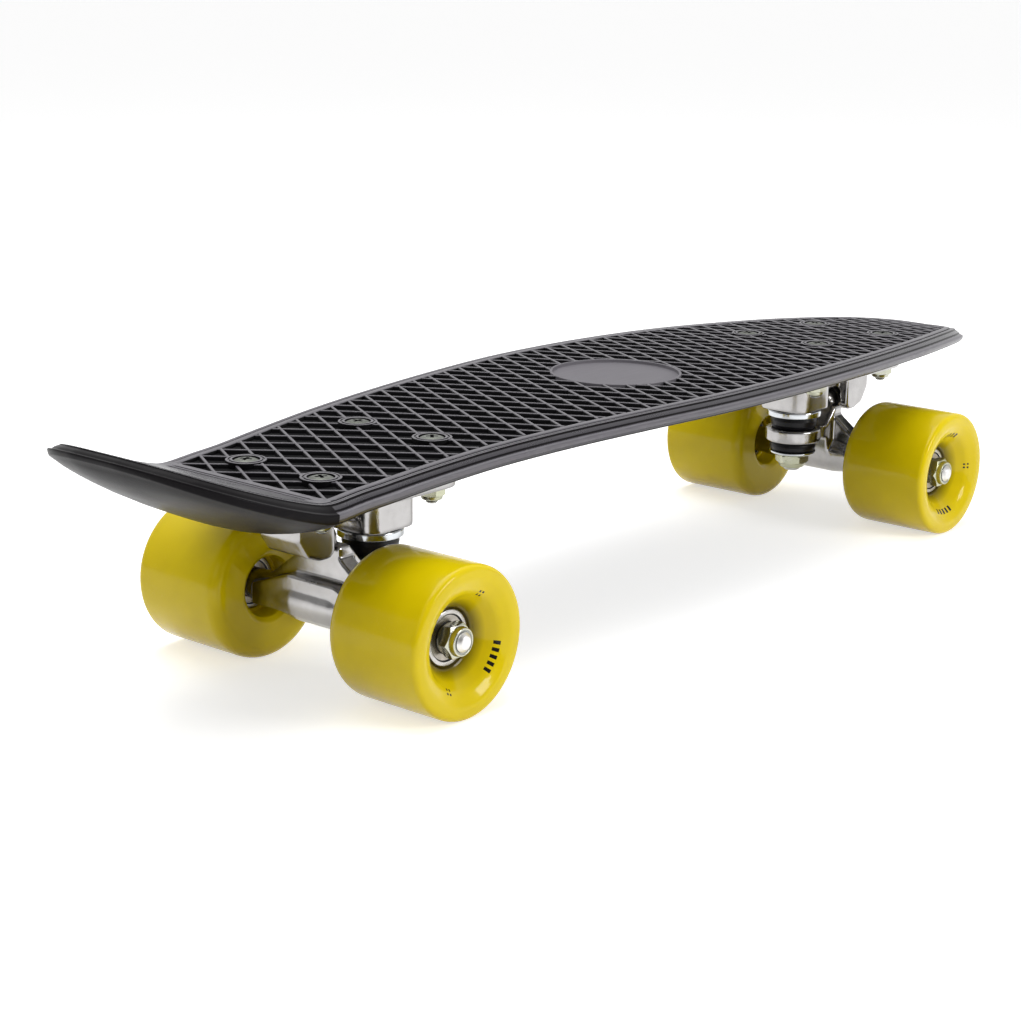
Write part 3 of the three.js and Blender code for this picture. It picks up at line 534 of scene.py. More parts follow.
def belly_drop(place):
    """Drop of the skirt's foot below the top at one place, and how far the belly goes below that."""
    fullness = along_curve(BELLY, place.x)
    edge = SHOULDER_DROP + SKIRT_HEIGHT * (1 - SKIRT_THINNING * (1 - fullness))
    width = max(along_curve(PLAN, place.x), 1)
    return edge, BELLY_DEPTH * fullness * (1 - min(place.y / width, 1) ** 2)


def in_hollow(place):
    return BEND + HOLLOW_KICK_MARGIN < place < DECK_LENGTH / 2 - HOLLOW_NOSE_MARGIN


def deck_section(column):
    """Points of half the deck's section, from the top's middle round to the underside's."""
    inner = inset(column, BORDER_INSET)
    waffled = 1 if inner.x > FIELD_START else 0
    depth = WAFFLE_DEPTH * waffled
    section = []

    def add(place, drop):
        section.append((place.x, place.y, deck_top(place.x) - drop))

    for share in INNER_SHARES:
        add(Vector((inner.x, inner.y * share)), depth)
    for distance, drop in BORDER_ROWS:
        add(inset(column, distance), drop * waffled)
    for distance, drop in SHOULDER_ROWS:
        add(inset(column, distance), drop)
    for distance, drop in SKIRT_ROWS:
        place = inset(column, distance)
        edge, _ = belly_drop(place)
        add(place, SHOULDER_DROP + (drop - SHOULDER_DROP) * (edge - SHOULDER_DROP) / SKIRT_HEIGHT)
    for distance in BELLY_INSETS:
        place = inset(column, distance)
        edge, belly = belly_drop(place)
        add(place, edge + belly * (1 - (1 - min(distance / BELLY_ROUNDING, 1)) ** 2))
    lip = inset(column, LIP_INSET + LIP_DRAFT)
    for share in [1, *reversed(INNER_SHARES)]:
        place = Vector((lip.x, lip.y * share))
        edge, belly = belly_drop(place)
        add(place, PANEL_THICKNESS if in_hollow(place.x) else edge + belly)
    return section


def placed_grid(rows, finishes=None):
    """Sheet whose corners are moved to rows of points of equal length, with a finish for each span."""
    bm = bmesh.new()
    across, along = len(rows[0]) - 1, len(rows) - 1
    bmesh.ops.create_grid(bm, x_segments=across, y_segments=along, size=0.5)
    if finishes:
        for face in bm.faces:
            span = int((face.calc_center_median().x + 0.5) * across)
            face.material_index = finishes.get(span, 0)
    for vert in bm.verts:
        column = round((vert.co.x + 0.5) * across)
        row = round((vert.co.y + 0.5) * along)
        vert.co = rows[row][column]
    return bm


def joined_mesh(parts):
    """One bmesh made of several."""
    whole = bmesh.new()
    for part in parts:
        mesh = bpy.data.meshes.new("part")
        part.to_mesh(mesh)
        part.free()
        whole.from_mesh(mesh)
        bpy.data.meshes.remove(mesh)
    return whole


def plain_piece(bm, name):
    """Turns a bmesh into a bare piece of the scene."""
    mesh = bpy.data.meshes.new(name)
    bm.to_mesh(mesh)
    bm.free()
    piece = bpy.data.objects.new(name, mesh)
    bpy.context.scene.collection.objects.link(piece)
    return piece


def finish_piece(bm, name, body, finishes, nodes=(), sharp=38, merged=True):
    """Turns a bmesh in millimetres into a named piece that rides on a body."""
    if merged:
        bmesh.ops.remove_doubles(bm, verts=bm.verts, dist=PIECE_MERGE)
        bmesh.ops.recalc_face_normals(bm, faces=bm.faces)
    bmesh.ops.transform(bm, matrix=Matrix.Scale(MM, 4), verts=bm.verts)
    for face in bm.faces:
        face.smooth = True
    for edge in bm.edges:
        edge.smooth = edge.is_manifold and edge.calc_face_angle(0) < math.radians(sharp)
    piece = plain_piece(bm, name)
    for finish in finishes:
        piece.data.materials.append(finish)
    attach(piece, body)
    if nodes:
        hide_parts(*nodes)
    return piece


def filleted(points, steps=4):
    """Profile of points, each with its own fillet, whose corners are rounded."""
    rounded = []
    for index, (radius, height, fillet) in enumerate(points):
        corner = Vector((radius, height))
        if not fillet:
            rounded.append(corner)
            continue
        before = Vector(points[index - 1][:2]) - corner
        after = Vector(points[(index + 1) % len(points)][:2]) - corner
        half = before.angle(after) / 2
        reach = min(fillet / math.tan(half), before.length * 0.49, after.length * 0.49)
        start, end = corner + before.normalized() * reach, corner + after.normalized() * reach
        for step in range(steps + 1):
            t = step / steps
            rounded.append(start.lerp(corner, t).lerp(corner.lerp(end, t), t))
    return rounded


def turned(profile, steps=64, closed=True):
    """Piece turned about Z from its profile of radii and heights."""
    bm = bmesh.new()
    verts = [bm.verts.new((point[0], 0, point[1])) for point in profile]
    edges = [bm.edges.new(pair) for pair in zip(verts, verts[1:])]
    if closed:
        edges.append(bm.edges.new((verts[-1], verts[0])))
    bmesh.ops.spin(bm, geom=verts + edges, cent=(0, 0, 0), axis=(0, 0, 1), dvec=(0, 0, 0),
                   angle=2 * math.pi, steps=steps, use_merge=True)
    bmesh.ops.remove_doubles(bm, verts=bm.verts, dist=TURN_MERGE)
    bmesh.ops.recalc_face_normals(bm, faces=bm.faces)
    return bm


def turn_shares(face):
    """Corners of a face, each with its share of a turn about Z next to that of the face's middle."""
    middle = face.calc_center_median()
    start = math.atan2(middle.y, middle.x)
    for loop in face.loops:
        place = loop.vert.co
        off = (math.atan2(place.y, place.x) - start + math.pi) % (2 * math.pi) - math.pi
        yield loop, start / (2 * math.pi) % 1 + off / (2 * math.pi)


def map_turned(bm):
    """Map of a piece turned about Z: share of a turn, and radius plus height."""
    layer = bm.loops.layers.uv.new("turned")
    for face in bm.faces:
        for loop, share in turn_shares(face):
            place = loop.vert.co
            loop[layer].uv = (share, (place.xy.length + place.z) * MAP_SCALE)
    return bm


def map_dish(bm):
    """Map of a wheel's outer dish: share of a turn, and radius."""
    layer = bm.loops.layers.uv.new("turned")
    for face in bm.faces:
        middle = face.calc_center_median()
        shown = middle.z > DISH_FLOOR and DISH_RADII[0] < middle.xy.length < DISH_RADII[1]
        for loop, share in turn_shares(face):
            loop[layer].uv = (share, loop.vert.co.xy.length * MAP_SCALE) if shown else MAP_FOOT
    return bm


def moved(bm, matrix):
    bmesh.ops.transform(bm, matrix=matrix, verts=bm.verts)
    return bm


def hex_body(flats, bottom, top, bore):
    """Hexagon nut about Z with its corners chamfered."""
    corner = flats / math.sqrt(3)
    low = (corner - flats / 2) * NUT_SLOPE
    bm = turned([
        (bore, bottom + 0.3), (bore + 0.4, bottom), (flats / 2 - 0.1, bottom), (corner, bottom + low),
        (corner, top - low), (flats / 2 - 0.1, top), (bore + 0.4, top), (bore, top - 0.3),
    ], 72)
    for side in range(6):
        angle = math.radians(60 * side + 30)
        normal = Vector((math.cos(angle), math.sin(angle), 0))
        cut = bmesh.ops.bisect_plane(bm, geom=[*bm.verts, *bm.edges, *bm.faces], dist=0.001,
                                     plane_co=normal * flats / 2, plane_no=normal, clear_outer=True)
        rim = [part for part in cut["geom_cut"] if isinstance(part, bmesh.types.BMEdge)]
        bmesh.ops.contextual_create(bm, geom=rim)
    return bm


def bar(path, profile):
    """Bar whose section of offsets across and heights follows a path of points and side directions."""
    return placed_grid([
        [point + side * across + Vector((0, 0, up)) for across, up in profile] for point, side in path
    ])


def cross_path(place, reach, height):
    """Path straight across the deck, with its side direction."""
    return [
        (Vector((place, reach * (1 - 2 * step / CROSS_STEPS), height)), Vector((1, 0, 0)))
        for step in range(CROSS_STEPS + 1)
    ]


# Frame facts in millimetres

def corners_of(node):
    low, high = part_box(node)
    return low / MM, high / MM


def middle_of(node):
    low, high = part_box(node)
    return (low + high) / 2 / MM


def size_of(node):
    low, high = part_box(node)
    return (high - low) / MM


TRUCKS = ("tail", "nose")
SCREWS = [f"{end}_{side}" for end in ("outer", "inner") for side in ("left", "right")]
SCREW_PLACES = {
    (truck, screw): middle_of(f"{truck}_screw_{screw}") for truck in TRUCKS for screw in SCREWS
}


SEATS = [Vector((place.x, place.y, deck_top(place.x))) for place in SCREW_PLACES.values()]


# Materials

PLASTIC = plastic_finish(
    "black_moulded_plastic", (0.021, 0.018, 0.025, 1), (0.038, 0.033, 0.044, 1), 0.25, 0.08, 0.62)
# Darker, duller copy of the plastic, named deck_underside, that paints shade on the rim's slopes, the
# kick's rim and back, the skirt and the underside
SHADE_PLASTIC = plastic_finish(
    "deck_underside", (0.008, 0.007, 0.008, 1), (0.014, 0.012, 0.013, 1), 0.3, 0.12, 0.055)
AXLE_END = metal_finish("axle_end", (0.80, 0.79, 0.78, 1), (0.68, 0.67, 0.66, 1), 0.4, 0.08, 0.3)
# Near black copy of the plastic: painted shade in the waffle's floor and the rim's groove, on the sides
# of ribs and collars and in the screws' recesses
RECESS_SHADE = plastic_finish(
    "recess_painted_shade", (0.0022, 0.002, 0.0028, 1), (0.004, 0.0035, 0.005, 1), 0.6, 0.2, 0.12)
# Lighter copy of the plastic: wear and painted sheen on the tops of the ribs and collars and on the
# rim's pale spans
WEAR_AND_SHEEN = plastic_finish(
    "pale_tops_wear_and_painted_sheen", (0.08, 0.073, 0.088, 1), (0.14, 0.13, 0.15, 1), 0.36, 0.15, 0.8)
PLATE = plastic_finish(
    "round_plate", (0.13, 0.122, 0.138, 1), (0.155, 0.146, 0.165, 1), 0.6, 0.12, 0.6)
CAST = metal_finish("cast_alloy", (0.46, 0.45, 0.445, 1), (0.36, 0.35, 0.345, 1), 0.16, 0.12, 0.3)
ZINC = metal_finish("zinc_plate", (0.50, 0.50, 0.45, 1), (0.44, 0.45, 0.30, 1), 0.16, 0.18, 0.2)
SCREW_ZINC = metal_finish(
    "screw_zinc", (0.17, 0.18, 0.155, 1), (0.10, 0.105, 0.092, 1), 0.34, 0.2, 0.25)
BRIGHT = turned_finish(
    "bright_plate", (0.60, 0.62, 0.64, 1), (0.53, 0.55, 0.57, 1), 0.07, 0.1, 900, 0.12)
STEEL = turned_finish(
    "ground_steel", (0.54, 0.53, 0.53, 1), (0.44, 0.43, 0.42, 1), 0.14, 0.18, 1500, 0.25)
AXLE_THREAD = thread_finish("axle_thread", 1, 1.06, (0.36, 0.36, 0.35, 1), (0.66, 0.66, 0.64, 1))
BOLT_THREAD = thread_finish("bolt_thread", 2, 1.06, (0.34, 0.34, 0.32, 1), (0.62, 0.62, 0.58, 1))
RUBBER = plastic_finish(
    "black_bushing", (0.008, 0.0075, 0.009, 1), (0.016, 0.015, 0.017, 1), 0.3, 0.2, 0.25)
NYLON = plastic_finish("nylon_collar", (0.42, 0.43, 0.40, 1), (0.5, 0.5, 0.47, 1), 0.4, 0.1)
URETHANE = urethane_finish("yellow_urethane", (0.80, 0.615, 0.0015, 1), (0.71, 0.535, 0.0015, 1))
SHIELD = turned_finish(
    "bearing_shield", (0.40, 0.37, 0.33, 1), (0.30, 0.28, 0.25, 1), 0.18, 0.16, 700, 0.2)


# Deck

def make_deck_body():
    half = placed_grid([deck_section(column) for column in COLUMNS], SPAN_FINISHES)
    for face in half.faces:
        place = face.calc_center_median()
        drop = deck_top(place.x) - place.z
        painted_band = face.material_index in (SUNKEN_SHADE, PALE_SHEEN)
        # On the kick's face only the strip by the beads keeps a painted sheen, and its rim and back are
        # painted shade
        if place.x < FIELD_START and painted_band and drop < KICK_FACE_DROP:
            face.material_index = PALE_SHEEN if place.x > BEND - BEAD_LINES[1] else MOULDED
        if place.x < BEND and drop > KICK_RIM_DROP:
            face.material_index = SHADED
    geometry = [*half.verts, *half.edges, *half.faces]
    bmesh.ops.mirror(half, geom=geometry, matrix=Matrix(), merge_dist=PIECE_MERGE, axis="Y")
    finishes = [PLASTIC, RECESS_SHADE, SHADE_PLASTIC, WEAR_AND_SHEEN]
    finish_piece(half, "deck_body", "board", finishes, ["deck"], sharp=50)


def in_field(place):
    """True where the waffle's bars run: inside the border, outside the plate's ring and the collars."""
    if not FIELD_START - 1 < place.x < FIELD_EDGE[-1].x:
        return False
    if abs(place.y) > along_curve(FIELD_EDGE, place.x) + BORDER_OVERLAP:
        return False
    if (place - Vector((PLATE_CENTRE, 0))).length < PLATE_RADIUS + PLATE_RING / 2:
        return False
    return all((place - seat.xy).length > COLLAR_RADIUS - COLLAR_OVERLAP for seat in SEATS)


def waffle_runs(slant, start):
    """Stretches of one waffle line that show, as pairs of points."""
    lean = 1 / math.tan(math.radians(WAFFLE_ANGLE)) * slant
    reach = DECK_WIDTH / 2
    runs, begin = [], None
    for index in range(int(2 * reach / RUN_STEP) + 1):
        across = -reach + index * RUN_STEP
        place = Vector((start + across * lean, across))
        if in_field(place):
            begin = begin or place
            last = place
        elif begin:
            runs.append((begin, last))
            begin = None
    return [(first, final) for first, final in runs if (final - first).length > SHORTEST_RUN]


def waffle_bar(begin, end, sink):
    """Bar of the waffle between two points, which follows the deck's top."""
    direction = (end - begin).normalized()
    side = Vector((-direction.y, direction.x, 0))
    count = max(int((end - begin).length / WAFFLE_STEP), 1)
    places = [begin.lerp(end, step / count) for step in range(count + 1)]
    path = [(Vector((p.x, p.y, deck_top(p.x) - sink)), side) for p in places]
    return bar(path, WAFFLE_PROFILE)


def make_waffle():
    """Ribs of the waffle, the bar at the field's tail end and the two beads by the kick."""
    parts = []
    for slant, sink in ((1, CROSSING_SINK), (-1, 0)):
        for index in WAFFLE_LINES:
            runs = waffle_runs(slant, BEND + WAFFLE_SHIFT + index * WAFFLE_PITCH)
            parts += [waffle_bar(begin, end, sink) for begin, end in runs]
    edge = along_curve(FIELD_EDGE, FIELD_START)
    path = cross_path(FIELD_START, edge + FIELD_END_OVERLAP, deck_top(FIELD_START) + FIELD_END_RISE)
    parts.append(bar(path, FIELD_END_PROFILE))
    for line in BEAD_LINES:
        place = BEND - line
        path = cross_path(place, edge + BEAD_OVERLAP, deck_top(place))
        for point, _ in (path[0], path[-1]):
            point.z -= BEAD_END_DROP
        parts.append(bar(path, BEAD_PROFILE))
    waffle = joined_mesh(parts)
    bmesh.ops.recalc_face_normals(waffle, faces=waffle.faces)
    for face in waffle.faces:
        if face.normal.z < 0:
            face.normal_flip()
        # Tops take the painted sheen and sides the painted shade
        face.material_index = 0 if face.normal.z >= 0.5 else 1
    finish_piece(waffle, "deck_waffle", "board", [WEAR_AND_SHEEN, RECESS_SHADE], merged=False)


def make_plate():
    """Round plate in the deck's middle with its raised ring."""
    radius, outside, floor = PLATE_RADIUS, PLATE_RADIUS + PLATE_RING, 0.15 - PLATE_DEPTH
    profile = filleted([
        (outside, -WAFFLE_DEPTH, 0), (outside, 0.04, 0.25), (radius, 0.04, 0.3),
        (radius - 0.1, floor, 0.3), (radius / 2, floor, 0), (0, floor, 0),
    ])
    place = Matrix.Translation((PLATE_CENTRE, 0, deck_top(PLATE_CENTRE)))
    bm = moved(turned(profile, 96, closed=False), place)
    finish_piece(bm, "deck_plate", "board", [PLATE])


def make_collars():
    """Double collars round the screws, with painted sheen on top and painted shade on their walls."""
    profile = filleted([
        (COLLAR_RADIUS, -WAFFLE_DEPTH - 1.5, 0), (COLLAR_RADIUS, COLLAR_RISE - 0.1, 0.25),
        (7.1, COLLAR_RISE - 0.1, 0.1), (6.9, -0.05, 0), (6.5, -0.05, 0), (6.3, COLLAR_RISE, 0.12),
        (5.35, COLLAR_RISE, 0.15), (5.25, -2.9, 0),
    ], 3)
    places = [Matrix.Translation(seat) for seat in SEATS]
    bm = joined_mesh([moved(turned(profile, 48, closed=False), place) for place in places])
    bm.normal_update()
    for face in bm.faces:
        # Painted sheen on the tops and painted shade on the walls
        face.material_index = 0 if face.normal.z > 0.5 else 1
    finish_piece(bm, "deck_collars", "board", [WEAR_AND_SHEEN, RECESS_SHADE], merged=False)


def make_pad(truck):
    """Pad under the deck for a truck's baseplate, with rounded corners."""
    low, high = corners_of(f"{truck}_baseplate")
    rows = []
    for step in range(PAD_STEPS + 1):
        x = low.x + (high.x - low.x) * step / PAD_STEPS
        inside = max(PAD_CORNER - min(x - low.x, high.x - x), 0)
        fall = PAD_CORNER - math.sqrt(max(PAD_CORNER ** 2 - inside ** 2, 0))
        reach, top = high.y - fall, deck_top(x) - PANEL_THICKNESS + 0.5
        rows.append([(x, -reach, top), (x, -reach, high.z), (x, reach, high.z), (x, reach, top)])
    ends = [[(x, y, rows[index][0][2]) for x, y, _ in rows[index]] for index in (0, -1)]
    return placed_grid([ends[0], *rows, ends[1]])


def make_underside():
    """Stiffening ribs and truck pads under the deck."""
    end = DECK_LENGTH / 2 - HOLLOW_NOSE_MARGIN
    start = BEND + HOLLOW_KICK_MARGIN
    half, top, low = RIB_THICKNESS / 2, -PANEL_THICKNESS + 1, -PANEL_THICKNESS - RIB_DEPTH
    profile = [
        (-half, top), (-half + 0.2, low + 0.3), (-half + 0.5, low), (half - 0.5, low),
        (half - 0.2, low + 0.3), (half, top),
    ]
    places = [start + (end - start) * step / LANE_STEPS for step in range(LANE_STEPS + 1)]
    lane = [x for x in places if along_curve(PLAN, x) - LIP_INSET > RIB_SPACING - 1]
    parts = []
    for side in (-1, 1):
        path = [(Vector((x, side * RIB_SPACING, deck_top(x))), Vector((0, 1, 0))) for x in lane]
        parts.append(bar(path, profile))
    tail, nose = (middle_of(f"{truck}_axle").x for truck in TRUCKS)
    for index in range(CROSS_RIBS):
        x = (tail + nose) / 2 + ((index + 0.5) / CROSS_RIBS - 0.5) * (nose - tail) / 2
        reach = along_curve(PLAN, x) - LIP_INSET + 1
        parts.append(bar(cross_path(x, -reach, deck_top(x)), profile))
    parts += [make_pad(truck) for truck in TRUCKS]
    finish_piece(joined_mesh(parts), "deck_underside", "board", [PLASTIC])


# Fasteners

def cross_recess(top, reach, width, depth):
    """Tapered cross that is cut into a screw's head."""
    bm = bmesh.new()
    for turn in (0, math.pi / 2):
        made = bmesh.ops.create_cube(bm, size=1)["verts"]
        bmesh.ops.scale(bm, vec=(reach, width, depth + 1), verts=made)
        bmesh.ops.translate(bm, vec=(0, 0, top + (1 - depth) / 2), verts=made)
        for vert in made:
            if vert.co.z < top:
                vert.co.x *= 0.45
                vert.co.y *= 0.7
        bmesh.ops.rotate(bm, cent=(0, 0, 0), matrix=Matrix.Rotation(turn, 3, "Z"), verts=made)
    return bm


def applied(piece):
    """Mesh of a piece with its modifiers, in a bmesh, after which the piece is removed."""
    bpy.context.view_layer.update()
    shown = piece.evaluated_get(bpy.context.evaluated_depsgraph_get())
    mesh = bpy.data.meshes.new_from_object(shown)
    bm = bmesh.new()
    bm.from_mesh(mesh)
    bpy.data.meshes.remove(mesh)
    bpy.data.objects.remove(piece)
    return bm


def screw_mesh(bottom, top):
    """Screw about Z with a rounded head, a cross recess and its shank."""
    profile = filleted([
        (0, bottom, 0), (SHANK_RADIUS - 0.45, bottom, 0), (SHANK_RADIUS, bottom + 0.5, 0),
        (SHANK_RADIUS, top - HEAD_HEIGHT, 0.2), (HEAD_RADIUS, top - HEAD_HEIGHT + 0.6, 0.3),
        (HEAD_RADIUS - 0.05, top - 0.3, 0.4), (3.2, top + 0.3, 0.8), (0, top + 0.4, 0),
    ])
    screw = plain_piece(turned(profile, 40, closed=False), "screw_blank")
    recess = cross_recess(top + 0.3, CROSS_LENGTH, CROSS_WIDTH, CROSS_DEPTH)
    cutter = plain_piece(recess, "cross_cutter")
    cut = screw.modifiers.new("recess", "BOOLEAN")
    cut.operation, cut.object, cut.solver = "DIFFERENCE", cutter, "EXACT"
    cut.use_self = True
    made = applied(screw)
    bpy.data.objects.remove(cutter)
    return made


def make_screw(truck, screw):
    """Deck screw with a plated head, a threaded shank and a cross recess painted near black as shade."""
    node = f"{truck}_screw_{screw}"
    place = SCREW_PLACES[truck, screw]
    low, high = corners_of(node)
    turn = Matrix.Rotation(math.radians(HEAD_TURNS[truck][SCREWS.index(screw)]), 4, "Z")
    bm = screw_mesh(low.z - place.z, high.z - place.z + HEAD_RISE)
    moved(bm, Matrix.Translation(place) @ turn)
    # The third finish paints the cross recess near black as shade
    finishes = [SCREW_ZINC, BOLT_THREAD, RECESS_SHADE]
    piece = finish_piece(bm, f"{truck}_deck_screw_{screw}", "board", finishes, [node])
    for face in piece.data.polygons:
        reach = (face.center.xy / MM - place.xy).length
        rise = face.center.z / MM - high.z
        if rise < -HEAD_HEIGHT - 0.5:
            face.material_index = 1
        elif rise < CROSS_TOP and reach < CROSS_RADIUS:
            face.material_index = 2
        else:
            face.material_index = 0


def make_screw_nut(truck, screw):
    node = f"{truck}_screw_nut_{screw}"
    place, size = middle_of(node), size_of(node)
    half, flats = size.z / 2, min(size.x, size.y)
    body = hex_body(flats, -half + 1.6, half, 2.45)
    collar = turned(filleted([
        (2.45, -half, 0.2), (flats / 2 - 0.6, -half, 0.8), (flats / 2 - 0.15, -half + 1.8, 0),
        (2.45, -half + 1.8, 0),
    ]), 40)
    whole = moved(joined_mesh([body, collar]), Matrix.Translation(place))
    finish_piece(whole, f"{truck}_deck_nut_{screw}", "board", [ZINC], [node])


# Trucks

def make_casting(node, body, name):
    """Casting: a copy of its solid whose edges are worn round."""
    bm = bmesh.new()
    bm.from_mesh(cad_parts[node].data)
    bmesh.ops.remove_doubles(bm, verts=bm.verts, dist=CAST_MERGE)
    blank = plain_piece(bm, "blank")
    remesh = blank.modifiers.new("remesh", "REMESH")
    remesh.mode, remesh.voxel_size = "VOXEL", CAST_VOXEL * MM
    smooth = blank.modifiers.new("smooth", "SMOOTH")
    smooth.factor, smooth.iterations = 0.5, CAST_SMOOTHING
    made = applied(blank)
    moved(made, Matrix.Scale(1 / MM, 4))
    finish_piece(made, name, body, [CAST], [node], sharp=180, merged=False)


def make_ring(node, name, points, steps, finish):
    """Ring turned in the place of its solid, which stays with the board."""
    bm = map_turned(turned(filleted(points), steps))
    moved(bm, Matrix.Translation(middle_of(node)))
    finish_piece(bm, name, "board", [finish], [node])


def make_bushing(node, name, belly):
    size = size_of(node)
    radius, half = size.x / 2, size.z / 2
    points = [
        (4.9, -half, 0.2), (radius - 0.9, -half, 0.7), (radius - 0.15, -half * 0.55, 0.8),
        (radius + belly, 0, 1.5), (radius - 0.15, half * 0.55, 0.8), (radius - 0.9, half, 0.7),
        (4.9, half, 0.2),
    ]
    make_ring(node, name, points, 64, RUBBER)


def make_cup_washer(node, name):
    """Cup washer whose lip reaches down round the bushing."""
    size = size_of(node)
    radius, half = size.x / 2, size.z / 2
    points = [
        (4.9, half - 2, 0.1), (radius - 1.75, half - 2, 0.3), (radius - 1.5, -half, 0.5),
        (radius, -half, 0.5), (radius - 0.1, half - 0.4, 0.9), (radius - 2.6, half, 0.8),
        (4.9, half, 0.3),
    ]
    make_ring(node, name, points, 80, BRIGHT)


def make_lower_washer(node, name):
    """Dished washer that narrows towards its nut."""
    size = size_of(node)
    radius, half = size.x / 2, size.z / 2
    points = [
        (4.9, half, 0.1), (radius, half, 0.3), (radius - 0.1, half - 0.9, 0.4),
        (radius - 2.3, -half, 0.8), (4.9, -half, 0.1),
    ]
    make_ring(node, name, points, 72, BRIGHT)


def make_kingpin(truck):
    node = f"{truck}_kingpin"
    place, size = middle_of(node), size_of(node)
    low, high = -size.z / 2, size.z / 2
    neck = high - KINGPIN_HEAD
    bolt = turned(filleted([
        (0, low, 0), (3.6, low, 0.3), (4.7, low + 1.2, 0), (4.7, neck, 0), (0, neck, 0),
    ]), 48, closed=False)
    head = hex_body(min(size.x, size.y), neck, high, 1)
    whole = moved(joined_mesh([bolt, head]), Matrix.Translation(place))
    finish_piece(whole, f"{truck}_king_bolt", "board", [BOLT_THREAD], [node])


def make_kingpin_nut(truck):
    node = f"{truck}_kingpin_nut"
    place, size = middle_of(node), size_of(node)
    half, flats = size.z / 2, min(size.x, size.y)
    body = hex_body(flats, -half + 2.1, half, 4.85)
    collar = turned(filleted([
        (4.85, -half, 0.3), (flats / 2 - 1.1, -half, 0.9), (flats / 2 - 0.2, -half + 2.3, 0),
        (4.85, -half + 2.3, 0),
    ]), 56)
    whole = moved(joined_mesh([body, collar]), Matrix.Translation(place))
    finish_piece(whole, f"{truck}_king_nut", "board", [ZINC], [node])


def make_axle(truck):
    """Axle with a thread along it and bright tips."""
    node = f"{truck}_axle"
    place, size = middle_of(node), size_of(node)
    half = size.y / 2
    bm = turned(filleted([
        (0, -half, 0), (2.5, -half, 1.2), (AXLE_RADIUS, -half + 1.5, 0.4),
        (AXLE_RADIUS, half - 1.5, 0.4), (2.5, half, 1.2), (0, half, 0),
    ]), 48, closed=False)
    for face in bm.faces:
        face.material_index = 1 if abs(face.calc_center_median().z) > half - AXLE_TIP else 0
    moved(bm, Matrix.Translation(place) @ Matrix.Rotation(math.pi / 2, 4, "X"))
    finishes = [AXLE_THREAD, AXLE_END]
    finish_piece(bm, f"{truck}_threaded_axle", f"{truck}_steering", finishes, [node])


def on_axle(truck, wheel):
    """Matrix that lays a piece made about Z on the wheel's axle, with its top outwards."""
    centre = middle_of(f"{wheel}_wheel")
    side = math.copysign(1, centre.y)
    turn = Matrix.Rotation(-side * math.pi / 2, 4, "X")
    spin = Matrix.Rotation(math.radians(MARK_SPINS[truck]), 4, "Z")
    return Matrix.Translation(centre) @ turn @ spin


def bearing_finish(reach):
    """Finish of a bearing's face at one radius: 0 for the races, 1 for the shield, 2 for the gaps beside
    the shield, painted black as shade.
    """
    if any(low < reach < high for low, high in BEARING_SHADE_GAPS):
        return 2
    return 1 if BEARING_SHIELD[0] < reach < BEARING_SHIELD[1] else 0


def make_wheel(truck, wheel):
    """Wheel with its two bearings."""
    body = f"{wheel}_wheel_set"
    place = on_axle(truck, wheel)
    centre = middle_of(f"{wheel}_wheel")
    tyre = moved(map_dish(turned(filleted(WHEEL_PROFILE, 8), 112)), place)
    finish_piece(tyre, f"{wheel}_tyre", body, [URETHANE], [f"{wheel}_wheel"])
    for end, turn in (("outer", Matrix()), ("inner", Matrix.Rotation(math.pi, 4, "X"))):
        bearing = map_turned(turned(filleted(BEARING_PROFILE, 3)))
        moved(bearing, place @ turn @ Matrix.Translation((0, 0, BEARING_SEAT)))
        for face in bearing.faces:
            face.material_index = bearing_finish((face.calc_center_median() - centre).xz.length)
        # The gaps take the black bushing rubber as painted shade
        name, finishes = f"{wheel}_shielded_bearing_{end}", [STEEL, SHIELD, RUBBER]
        finish_piece(bearing, name, body, finishes, [f"{wheel}_bearing_{end}"])


def make_axle_nut(truck, wheel):
    """Lock nut on the axle's end: its washer, hexagon, collar and nylon insert."""
    node = f"{wheel}_axle_nut"
    place = on_axle(truck, wheel)
    centre, size = middle_of(f"{wheel}_wheel"), size_of(node)
    near, far = sorted(abs(corner.y - centre.y) for corner in corners_of(node))
    washer_top = near + 0.9
    hex_top = washer_top + AXLE_NUT_HEX
    hexagon = hex_body(min(size.x, size.z), washer_top, hex_top, 4.15)
    washer = turned(filleted([
        (4.15, near, 0.1), (5.6, near, 0.2), (5.6, washer_top, 0.2), (4.15, washer_top, 0.1),
    ]))
    collar = turned(filleted([
        (4.7, hex_top - 0.2, 0), (5.9, hex_top - 0.2, 0), (5.5, far, 0.9), (4.7, far, 0.3),
    ]), 56)
    whole = moved(joined_mesh([hexagon, washer, collar]), place)
    finish_piece(whole, f"{wheel}_lock_nut", f"{truck}_steering", [ZINC], [node])
    insert = turned(filleted([
        (4.0, hex_top, 0), (4.72, hex_top, 0), (4.72, far - 0.25, 0), (4.0, far - 0.35, 0.2),
    ]), 48)
    finish_piece(moved(insert, place), f"{wheel}_nut_insert", f"{truck}_steering", [NYLON])


def make_truck(truck):
    make_casting(f"{truck}_baseplate", "board", f"{truck}_cast_baseplate")
    make_casting(f"{truck}_hanger", f"{truck}_steering", f"{truck}_cast_hanger")
    make_kingpin(truck)
    make_kingpin_nut(truck)
    make_bushing(f"{truck}_bushing_upper", f"{truck}_tall_bushing", 0.25)
    make_bushing(f"{truck}_bushing_lower", f"{truck}_short_bushing", 0.1)
    make_cup_washer(f"{truck}_cup_washer_upper", f"{truck}_bright_cup_washer")
    make_lower_washer(f"{truck}_cup_washer_lower", f"{truck}_dished_washer")
    make_axle(truck)
    for side in ("left", "right"):
        make_wheel(truck, f"{truck}_{side}")
        make_axle_nut(truck, f"{truck}_{side}")


# Stage, light and camera

